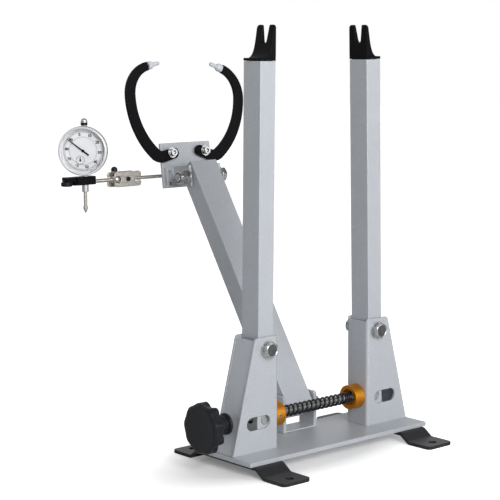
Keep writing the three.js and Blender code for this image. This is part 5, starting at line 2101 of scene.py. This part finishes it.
@dataclass
class DialHolder:
    """Rod block, dial rod, swivel clamp, holder rod and stem clamp."""

    layout: Layout
    length: float = 39.5
    inner: float = 69.0
    rear_shift: float = 6.0
    height: float = 18.4
    sheet: float = 1.4
    gap: float = 5.6
    ear: float = 4.0
    notch: float = 3.0
    notch_length: float = 6.0
    ball_x: float = 103.6
    ball_hole: float = 4.3
    screw_x: float = 88.5
    rise: float = 10.8
    reach: float = 11.5
    dial_rod: float = 2.2
    holder_rod: float = 2.4
    ball: float = 5.0
    block_edge: float = 0.5
    rod_edge: float = 0.35
    end_edge: float = 0.4
    ball_step: int = 8
    screw_hole: float = 2.3
    notch_back: float = 0.2
    shoulder: float = 1.0
    block_thumb: tuple[float, ...] = (5.5, 7.0, 2.0, 2.8)
    stem_thumb: tuple[float, ...] = (6.8, 5.2, 2.0, 3.1)
    grip: float = 0.6
    grip_corner: float = 0.8
    flutes: int = 20
    flute: Point = (1.5, 0.8)
    knob: float = 4.0
    post_gap: float = 0.3
    hub_reach: float = 1.3
    post: Size = (4.0, 2.0, 2.8)
    post_end: float = 0.7
    stalk: float = 1.3

    def build(self) -> None:
        """Builds the holder from the head outwards."""
        self.block()
        self.rods()
        for rear in (False, True):
            self.plate(rear)
        self.lever()
        self.stem_clamp()

    def block(self) -> None:
        """The block that the dial rod slides in, and its thumb screw."""
        self.layout.recoat("rod_block", "head", Finishes.SILVER, self.block_edge)
        place = axes(
            self.layout.pivot("block_screw_turn"), Vector((1, 0, 0)), self.layout.axis("left_caliper_swing")
        )
        add_piece(
            self._thumb(*self.block_thumb), place @ turn(-90, "X"), "block_thumb_screw_moulded",
            "block_screw", Finishes.PLASTIC, "block_thumb_screw",
        )

    def _thumb(self, radius: float, length: float, thread: float, reach: float) -> Solid:
        """A small fluted knob on a thread, along Z from zero.

        Args:
            radius: Radius over the flutes.
            length: Length of the knob.
            thread: Radius of the thread.
            reach: How far the thread reaches below zero.

        Returns:
            The solid.
        """
        wide, (thick, deep) = radius - self.grip, self.flute
        knob = Solid.turned(filleted([
            (HAIR, 0), (wide, 0), (wide, length), (HAIR, length),
        ], self.grip_corner, 4), steps=48)
        flutes = grown(Trees.ring(), Finishes.PLASTIC, {
            "Count": self.flutes, "Radius": radius - deep, "Size": (thick, deep, length - 2 * deep),
        }).moved(shift(0, 0, length / 2))
        return knob.with_parts(flutes, Solid.rod(thread, -reach, 0.5, steps=24))

    def rods(self) -> None:
        """The dial rod and the holder rod with its ball."""
        low, high = self.layout.box("dial_rod")
        pivot = self.layout.pivot("swivel_turn")
        bar = Solid.turned(
            [(0, low.x), (self.dial_rod, low.x), (self.dial_rod, high.x), (0, high.x)], Facing.SIDE,
            steps=40,
        )
        add_piece(
            bar.softened(self.rod_edge), shift(0, pivot.y, pivot.z), "dial_rod_plated", "dial_rod",
            Finishes.NICKEL, "dial_rod",
        )
        ball = self.layout.pivot("holder_swing")
        end = self.layout.box("holder_rod")[0].x - ball.x
        thick, ball_radius = self.holder_rod, self.ball
        profile = [(0, end), (thick - self.end_edge, end), (thick, end + self.end_edge)]
        meet = round(math.degrees(math.asin(thick / ball_radius)))
        profile += [
            (ball_radius * math.sin(a), -ball_radius * math.cos(a))
            for a in map(math.radians, range(meet, 180, self.ball_step))
        ]
        profile += [(0, ball_radius)]
        rod = Solid.turned(profile, Facing.SIDE, steps=48)
        add_piece(
            rod, Matrix.Translation(ball), "holder_rod_plated", "holder", Finishes.NICKEL, "holder_rod",
        )

    def plate(self, rear: bool) -> None:
        """A stamped plate of the swivel clamp: eared, notched and holed.

        Args:
            rear: Whether it is the rear plate.
        """
        half, ear = self.height / 2, self.ear
        left, right = -self.inner - self.length, -self.inner
        start = right - self.notch_length - self.shoulder
        outline = [
            (left + ear, -half), (right - ear, -half), *arc((right - ear, ear - half), ear, 270, 450, 14),
            (start, -self.notch), *arc((start - self.notch_back, 0), self.notch, 270, 90, 10),
            *arc((right - ear, half - ear), ear, 270, 450, 14), (left + ear, half),
            *arc((left + ear, half - ear), ear, 90, 180, 10),
            *arc((left + ear, ear - half), ear, 180, 270, 10),
        ]
        if rear:
            outline = [(left + right - self.rear_shift - x, y) for x, y in outline[::-1]]
        holes = [
            circle(self.ball_hole, 40, (-self.ball_x, 0)), circle(self.screw_hole, 28, (-self.screw_x, 0)),
        ]
        sheet = Solid.prism(outline, 0, self.sheet, Facing.FRONT, holes=holes).softened(self.rod_edge)
        label = "rear" if rear else "front"
        y = self.gap / 2 + self.sheet if rear else -self.gap / 2
        place = Matrix.Translation(self.layout.pivot("swivel_turn")) @ shift(0, y, 0)
        name = f"swivel_{label}_plate_plated"
        add_piece(sheet, place, name, "swivel", Finishes.NICKEL, f"swivel_{label}_plate")

    def lever(self) -> None:
        """The clamp screw with its stalk and black ball."""
        back = self.gap / 2 + self.sheet + self.post_gap
        rise, reach, ball = self.rise, self.reach, self.knob
        stalk_y, front = back + ball, -back - ball - self.hub_reach
        length = math.hypot(rise, reach)
        slope = turn(180 + math.degrees(math.atan2(rise, reach)), "Y")
        (wide, shank, end), ease, far = self.post, self.end_edge, back + self.post_end
        post = Solid.turned([
            (0, front), (wide - ease, front), (wide, front + ease), (wide, -back), (shank, -back),
            (shank, back), (end, back), (end, far), (0, far),
        ], Facing.FRONT, steps=40)
        stalk = Solid.rod(self.stalk, 0, length, Facing.SIDE, steps=24)
        stalk = stalk.moved(slope).moved(shift(0, stalk_y, 0))
        sphere = Solid.turned([
            (ball * math.sin(a), -ball * math.cos(a)) for a in map(math.radians, range(0, 181, 10))
        ], steps=36).moved(shift(-reach, stalk_y, rise))
        place = Matrix.Translation(self.layout.pivot("lever_turn"))
        add_piece(
            post.with_parts(stalk, sphere), place, "clamp_lever_moulded", "lever", Finishes.PLASTIC,
            "clamp_lever",
        )

    def stem_clamp(self) -> None:
        """The split black clamp on the dial's stem and its thumb screw."""
        self.layout.recoat("stem_clamp", "stem_clamp", Finishes.JET, self.block_edge)
        place = Matrix.Translation(self.layout.pivot("stem_screw_turn")) @ turn(180, "X")
        add_piece(
            self._thumb(*self.stem_thumb), place, "stem_thumb_screw_moulded", "stem_screw",
            Finishes.PLASTIC, "stem_thumb_screw",
        )


@dataclass
class Dial:
    """The dial indicator: case, bezel, face, hands, crystal and spindle."""

    layout: Layout
    case_radius: float = 26.6
    case_depth: float = 16.0
    stem_radius: float = 4.0
    stem_length: float = 22.4
    bezel_radius: float = 29.0
    opening: float = 25.6
    centre_radius: float = 16.3
    face_front: float = 9.2
    numeral_turn: float = 12.0
    hand_angle: float = 142.9
    sub_x: float = -3.5
    sub_z: float = -10.9
    tip: float = 73.8
    point: float = 2.6
    point_length: float = 8.2
    point_ball: float = 1.05
    point_neck: float = 3.6
    point_edge: Point = (0.4, 0.5)
    shaft: float = 2.1
    bore: float = 2.6
    wall: float = 2.2
    case_corner: float = 0.8
    stem_root: Point = (5.2, 4.0)
    stem_edge: Point = (0.4, 0.5)
    bush: Point = (3.4, 2.6)
    bush_edge: float = 0.3
    fit: float = 0.3
    skirt: float = 2.4
    bezel_rise: Point = (6.0, 7.0)
    bezel_gap: float = 0.35
    bezel_bevels: tuple[float, ...] = (1.3, 0.8, 5.2, 5.0)
    bezel_corner: float = 0.5
    ridges: int = 120
    ridge: Size = (0.6, 0.8, 6.6)
    ridge_rise: float = 1.6
    liner: Size = (24.7, 26.3, 25.9)
    liner_rise: float = 11.9
    liner_gap: float = 0.05
    face_thickness: float = 0.8
    ring_thickness: float = 0.5
    scale_band: Point = (21.0, 24.3)
    print_height: float = 0.03
    band_height: float = 0.02
    scale: tuple[tuple[int, float, Size], ...] = (
        (100, 23.3, (1.6, 0.18, 0.06)), (20, 23.0, (2.2, 0.24, 0.06)), (10, 22.6, (3.0, 0.36, 0.06)),
    )
    counter: tuple[tuple[int, float, Size], ...] = (
        (10, 4.3, (1.3, 0.3, 0.06)), (40, 4.75, (0.5, 0.1, 0.06)),
    )
    counter_band: Point = (5.1, 5.3)
    edge_band: Point = (0.3, 0.02)
    numeral: float = 4.4
    numeral_weight: float = 0.18
    numeral_radius: float = 19.2
    numerals_round: int = 10
    numeral_step: int = 10
    numeral_gap: float = 1e-4
    main_hand: tuple[float, ...] = (23.0, 8.6, 1.05, 0.4, 1.8)
    main_rise: float = 1.6
    small_hand: tuple[float, ...] = (3.8, 1.8, 0.6, 0.4, 1.1)
    small_rise: float = 0.7
    hand_thickness: float = 0.35
    hand_edge: float = 0.06
    hub_rise: Point = (0.1, 0.6)
    hub_edge: float = 0.15
    pin: float = 0.5
    glass: Point = (12.0, 13.0)
    cap: Size = (4.0, 3.7, 8.3)
    cap_start: float = 4.6
    cap_sink: float = 4.0
    cap_band: Size = (2.4, 4.1, 3.2)
    cap_band_edge: float = 0.4

    def build(self) -> None:
        """Builds the dial on its own frame."""
        self.place = self.layout.dial()
        self.case()
        self.bezel()
        self.face()
        self.numerals()
        self.hands()
        self.crystal()
        self.spindle()

    def _add(self, solid: Solid, name: str, body: str, finish: Finish, *nodes: str) -> None:
        """Places a solid drawn on the dial's frame."""
        add_piece(solid, self.place, name, body, finish, *nodes)

    def case(self) -> None:
        """The cup with its back lid, stem and upper bush."""
        r, front, inner = self.case_radius, self.case_depth / 2, self.case_radius - self.wall
        floor = self.wall - front
        cup = Solid.turned(filleted([
            (HAIR, -front), (r, -front), (r, front), (inner, front), (inner, floor), (HAIR, floor),
        ], self.case_corner, 4, closed=False), Facing.FRONT, steps=128)
        foot, thick = -r - self.stem_length, self.stem_radius
        (root, start), (inward, up), top = self.stem_root, self.stem_edge, 1 - inner
        stem = Solid.turned([
            (self.bore, foot), (thick - inward, foot), (thick, foot + up), (thick, start - r),
            (root, start - r), (root, top), (self.bore, top),
        ], steps=56, ring=True)
        outer, high = self.bush[0], r + self.bush[1]
        section = filleted([
            (self.bore, inner), (outer, inner), (outer, high), (self.bore, high),
        ], self.bush_edge, 2)
        bush = Solid.turned(section, steps=48, ring=True)
        self._add(cup.with_parts(stem, bush), "dial_case_polished", "dial", Finishes.CHROME, "dial_case")

    def bezel(self) -> None:
        """The bezel ring with its fine grip ridges."""
        rim, skirt = self.case_depth / 2 + self.fit, self.case_radius + self.fit
        outer, low = self.bezel_radius - self.bezel_gap, rim - self.skirt
        side, top = self.bezel_rise
        inward, outward, seat, ledge = self.bezel_bevels
        profile = filleted([
            (skirt, low), (outer, low), (outer, rim + side), (outer - inward, rim + top),
            (self.opening + outward, rim + top), (self.opening, rim + seat), (skirt, rim + ledge),
        ], self.bezel_corner, 4)
        ring = Solid.turned(profile, Facing.FRONT, steps=160, ring=True)
        # the grip ridges are dark, a painted shade of the knurl
        ridges = grown(Trees.ring(), Finishes.GRIP, {
            "Count": self.ridges, "Radius": outer, "Size": self.ridge,
        }).moved(shift(0, 0, rim + self.ridge_rise)).moved(Facing.FRONT.matrix)
        self._add(ring, "dial_bezel_polished", "bezel", Finishes.RIM, "dial_bezel")
        self._add(ridges, "dial_bezel_grip", "bezel", Finishes.GRIP)
        front, high = self.face_front + self.liner_gap, self.liner_rise
        inner, outer, upper = self.liner
        liner = Solid.turned(
            [(inner, front), (outer, front), (outer, high), (upper, high)], Facing.FRONT, steps=128,
            ring=True,
        )
        self._add(liner, "scale_ring_liner", "bezel", Finishes.PRINT)

    def face(self) -> None:
        """The fixed middle of the face, the turning scale ring and their printed marks."""
        front = self.face_front
        printed = shift(0, -front - self.print_height, 0)
        middle = Solid.prism(
            circle(self.centre_radius, 96), front - self.face_thickness, front, Facing.FRONT,
        )
        self._add(middle, "dial_face_printed", "dial", Finishes.PRINT, "dial_face")
        ring = Solid.prism(
            circle(self.case_radius, 128), front - self.ring_thickness, front, Facing.FRONT,
            holes=[circle(self.centre_radius + self.fit, 96)],
        )
        self._add(ring, "scale_ring_printed", "bezel", Finishes.PRINT, "scale_ring")
        (inner, outer), high = self.scale_band, self.band_height
        band = Solid.prism(circle(outer, 128), -high, high, Facing.FRONT, holes=[circle(inner, 128)])
        self._add(band.moved(shift(0, -front - high, 0)), "scale_band", "bezel", Finishes.SCALE)
        start = math.radians(90 + self.numeral_turn)
        first, *others = (self._marks(*rule, start) for rule in self.scale)
        marks = first.with_parts(*others)
        self._add(marks.moved(printed), "scale_marks", "bezel", Finishes.INK)
        tens, fine = (self._marks(*rule, math.pi / 2) for rule in self.counter)
        small = tens.with_parts(self._band(*self.counter_band), fine).moved(shift(self.sub_x, 0, self.sub_z))
        self._add(small.moved(printed), "face_marks", "dial", Finishes.INK)
        edge = self._band(*(self.centre_radius - inward for inward in self.edge_band))
        self._add(edge.moved(printed), "face_edge", "dial", Finishes.FAINT)

    @staticmethod
    def _marks(count: int, radius: float, size: Size, start: float) -> Solid:
        """Scale marks round the face, drawn on the dial's plane.

        Args:
            count: How many marks.
            radius: Radius of their middles.
            size: Length, width and height of a mark.
            start: Angle of the first mark.

        Returns:
            The solid.
        """
        return grown(Trees.ring(), Finishes.INK, {
            "Count": count, "Radius": radius, "Size": size, "Start": start,
        }).moved(Facing.FRONT.matrix)

    def _band(self, inner: float, outer: float) -> Solid:
        """A thin printed circle."""
        high = self.print_height
        return Solid.prism(circle(outer, 96), -high, high, Facing.FRONT, holes=[circle(inner, 96)])

    def numerals(self) -> None:
        """Plain numbers, ten apart, round the scale."""
        parts = None
        for k in range(self.numerals_round):
            curve = bpy.data.curves.new("numeral", "FONT")
            curve.body = str(k * self.numeral_step)
            curve.size, curve.extrude, curve.offset = self.numeral, self.print_height, self.numeral_weight
            curve.align_x, curve.align_y = "CENTER", "CENTER"
            obj = bpy.data.objects.new("numeral", curve)
            bpy.context.scene.collection.objects.link(obj)
            mesh = baked(obj)
            bpy.data.objects.remove(obj)
            angle = math.radians(90 + self.numeral_turn - 360 * k / self.numerals_round)
            bm = bmesh.new()
            bm.from_mesh(mesh)
            bmesh.ops.remove_doubles(bm, verts=bm.verts, dist=self.numeral_gap)
            out = self.numeral_radius
            place = Facing.FRONT.matrix @ shift(out * math.cos(angle), out * math.sin(angle), 0)
            glyph = Solid(bm).moved(place)
            parts = glyph if parts is None else parts.with_parts(glyph)
        parts = parts.moved(shift(0, -self.face_front - self.print_height, 0))
        self._add(parts, "scale_numerals", "bezel", Finishes.INK)

    def _hand(self, length: float, tail: float, root: float, tip: float, hub: float, low: float) -> Solid:
        """A tapered hand on its hub, pointing along X.

        Args:
            length: From the hub's middle to the tip.
            tail: From the hub's middle to the tail's end.
            root: Half the width at the tail.
            tip: Half the width at the tip.
            hub: Radius of the hub.
            low: Height of the hand's back over the dial's origin.

        Returns:
            The solid.
        """
        outline = [(-tail, -root), (length, -tip), (length, tip), (-tail, root)]
        blade = Solid.prism(outline, low, low + self.hand_thickness, Facing.FRONT)
        under, over = self.hub_rise
        knob = Solid.rod(hub, low - under, low + over, Facing.FRONT, steps=32).softened(self.hub_edge)
        pin = Solid.rod(self.pin, low - self.bore, low, Facing.FRONT, steps=16)
        return blade.softened(self.hand_edge, 1).with_parts(knob, pin)

    def hands(self) -> None:
        """The main hand and the turn counter's small hand."""
        main = self._hand(*self.main_hand, self.face_front + self.main_rise)
        main = main.moved(turn(-self.hand_angle, "Y"))
        self._add(main, "main_hand_painted", "main_hand", Finishes.INK, "main_hand")
        small = self._hand(*self.small_hand, self.face_front + self.small_rise).moved(turn(-90, "Y"))
        self._add(
            small.moved(shift(self.sub_x, 0, self.sub_z)), "small_hand_painted", "small_hand", Finishes.INK,
            "small_hand",
        )

    def crystal(self) -> None:
        """The flat crystal."""
        disc = Solid.rod(self.case_radius, *self.glass, Facing.FRONT, steps=128)
        self._add(disc, "dial_crystal", "bezel", Finishes.GLASS, "dial_glass")

    def spindle(self) -> None:
        """The spindle with its ball contact, and the lifting cap with its dark band."""
        low, top = -self.tip, self.case_radius + self.bush[1] + self.fit
        ball, thick, (inward, up) = self.point_ball, self.point, self.point_edge
        neck, seat, end = low + self.point_neck, low + self.point_length, top + self.cap_sink
        quarter = [math.radians(a) for a in range(0, 91, 15)]
        rod = Solid.turned([
            *[(ball * math.sin(a), low + ball - ball * math.cos(a)) for a in quarter],
            (thick - inward, neck), (thick, neck + up), (thick, seat - inward), (thick - inward, seat),
            (self.shaft, seat), (self.shaft, end), (0, end),
        ], steps=48)
        self._add(rod, "dial_spindle_polished", "spindle", Finishes.NICKEL, "dial_spindle")
        (radius, crown, height), (bore, outer, band_height) = self.cap, self.cap_band
        start, seat = top + self.cap_start, top + band_height
        quarter = [math.radians(a) for a in range(0, 90, 9)]
        dome = [(radius * math.cos(a), start + crown * math.sin(a)) for a in quarter]
        cap = Solid.turned([(0, seat), (radius, seat), *dome, (0, top + height)], steps=56)
        self._add(cap, "spindle_cap_polished", "spindle", Finishes.CAP, "spindle_cap")
        section = filleted([(bore, top), (outer, top), (outer, seat), (bore, seat)], self.cap_band_edge, 3)
        band = Solid.turned(section, steps=56, ring=True)
        self._add(band, "spindle_cap_band", "spindle", Finishes.PLASTIC)


@dataclass
class Studio:
    """Camera, floor, lamps and world."""

    layout: Layout
    target: tuple[float, float, float] = (-56.927, 44.433, 214.27)
    distance: float = 1748.095
    azimuth: float = -40.826
    tilt: float = 7.826
    roll: float = -0.282
    lens: float = 111.37
    ambient: float = 0.26
    # painted shadow round the stand: the middle and stretch of the region where the floor's glow to the
    # camera is dimmer, and how that glow rises from dim to white
    pool_middle: tuple[float, float, float] = (-0.02, -0.08, 0.0)
    pool_scale: tuple[float, float, float] = (6.8, 14.5, 0.0)
    pool_glow: tuple[float, ...] = (0.85, 1.75, 0.16, 0.9)
    floor_grey: float = 0.8
    floor_radius: float = 9000.0
    floor_depth: Point = (-2.0, -0.1)
    mirrored: tuple[float, ...] = (-0.4, 0.6, 0.12, 0.75)
    aim: Size = (0.0, 0.0, 0.22)
    sensor: float = 36.0
    far: float = 50.0
    lamps: tuple[tuple[str, Colour, float, float], ...] = (
        ("key", (-0.95, -2.85, 1.45), 1.8, 86.0),
        ("fill", (1.2, -2.2, 0.9), 1.4, 14.0),
        ("top", (0.1, 0.3, 1.9), 1.4, 1.0),
    )

    def build(self) -> None:
        """Builds the studio round the stand."""
        self.camera()
        self.light()
        self.floor()
        self.world()
        bpy.context.scene.view_settings.view_transform = "Standard"

    def camera(self) -> None:
        """The camera at the photograph's place."""
        a, e, roll = (math.radians(v) for v in (self.azimuth, self.tilt, self.roll))
        back = Vector((math.sin(a) * math.cos(e), -math.cos(a) * math.cos(e), math.sin(e)))
        right = Vector((math.cos(a), math.sin(a), 0))
        up = back.cross(right)
        x = right * math.cos(roll) + up * math.sin(roll)
        y = up * math.cos(roll) - right * math.sin(roll)
        target = self.layout.home + Vector(self.target) + Vector((0, 0, self.layout.plate_top))
        data = bpy.data.cameras.new("photo_camera")
        data.lens, data.sensor_width, data.clip_end = self.lens, self.sensor, self.far
        camera = bpy.data.objects.new("photo_camera", data)
        camera.matrix_world = axes((target + back * self.distance) * MM, x, y)
        bpy.context.scene.collection.objects.link(camera)
        bpy.context.scene.camera = camera

    def light(self) -> None:
        """Large soft lamps aimed at the middle of the stand."""
        aim = Vector(self.aim)
        for name, where, size, power in self.lamps:
            data = bpy.data.lights.new(name, "AREA")
            data.shape, data.size, data.energy = "DISK", size, power
            lamp = bpy.data.objects.new(name, data)
            lamp.location = where
            lamp.rotation_euler = (aim - Vector(where)).to_track_quat("-Z", "Y").to_euler()
            bpy.context.scene.collection.objects.link(lamp)

    def floor(self) -> None:
        """A pale floor that shows white to the camera and keeps the stand's shadow, with a painted shadow
        round the stand where its glow to the camera is dimmer.
        """
        material = bpy.data.materials.new("studio_floor")
        material.use_nodes = True
        graph = Graph(material.node_tree)
        path = graph.add("ShaderNodeLightPath")
        seen = path.outputs["Is Camera Ray"]
        place = graph.add("ShaderNodeTexCoord").outputs["Object"]
        centred = graph.add("ShaderNodeVectorMath", {0: place, 1: self.pool_middle}, operation="SUBTRACT")
        scaled = graph.add(
            "ShaderNodeVectorMath", {0: centred.outputs[0], 1: self.pool_scale}, operation="MULTIPLY",
        )
        away = graph.add("ShaderNodeVectorMath", {0: scaled.outputs[0]}, operation="LENGTH").outputs["Value"]
        # painted shadow: the floor's glow to the camera is dim near the stand and rises to white further out
        white = graph.spread(away, *self.pool_glow)
        diffuse = graph.add("ShaderNodeBsdfDiffuse", {"Color": (*[self.floor_grey] * 3, 1)})
        glow = graph.add(
            "ShaderNodeEmission", {"Color": (1, 1, 1, 1), "Strength": graph.maths("MULTIPLY", seen, white)},
        )
        both = graph.add("ShaderNodeAddShader", {0: diffuse.outputs[0], 1: glow.outputs[0]})
        out = graph.add("ShaderNodeOutputMaterial")
        graph.join(both.outputs[0], out.inputs["Surface"])
        mesh = Solid.prism(circle(self.floor_radius, 96), *self.floor_depth).mesh(IN_FRAME, "studio_floor")
        floor = bpy.data.objects.new("studio_floor", mesh)
        mesh.materials.append(material)
        bpy.context.scene.collection.objects.link(floor)

    def world(self) -> None:
        """White to the camera, dim in front and brighter behind in reflections, and a soft light."""
        world = bpy.data.worlds.new("studio_world")
        world.use_nodes = True
        graph = Graph(world.node_tree)
        path = graph.add("ShaderNodeLightPath")
        seen = path.outputs["Is Camera Ray"]
        toward = graph.add("ShaderNodeSeparateXYZ", {0: graph.add("ShaderNodeTexCoord").outputs["Object"]})
        mirrored = graph.spread(toward.outputs[1], *self.mirrored)
        soft = graph.add(
            "ShaderNodeMix", {0: path.outputs["Is Glossy Ray"], 2: self.ambient, 3: mirrored},
            data_type="FLOAT",
        )
        level = graph.add("ShaderNodeMix", {0: seen, 2: soft.outputs[0], 3: 1.0}, data_type="FLOAT")
        sky = graph.add("ShaderNodeBackground", {"Color": (1, 1, 1, 1), "Strength": level.outputs[0]})
        out = graph.add("ShaderNodeOutputWorld")
        graph.join(sky.outputs[0], out.inputs["Surface"])
        bpy.context.scene.world = world


def main() -> None:
    """Builds the studio and every sub-assembly in order."""
    logging.basicConfig(level=logging.INFO, format="%(name)s: %(message)s")
    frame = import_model()
    layout = Layout(frame)
    Studio(layout).build()
    Base(layout).build()
    for hand in Hand:
        Upright(layout, hand).build()
    Screw(layout).build()
    GaugeArm(layout).build()
    Head(layout).build()
    DialHolder(layout).build()
    Dial(layout).build()
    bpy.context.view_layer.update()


if __name__ == "__main__":
    main()
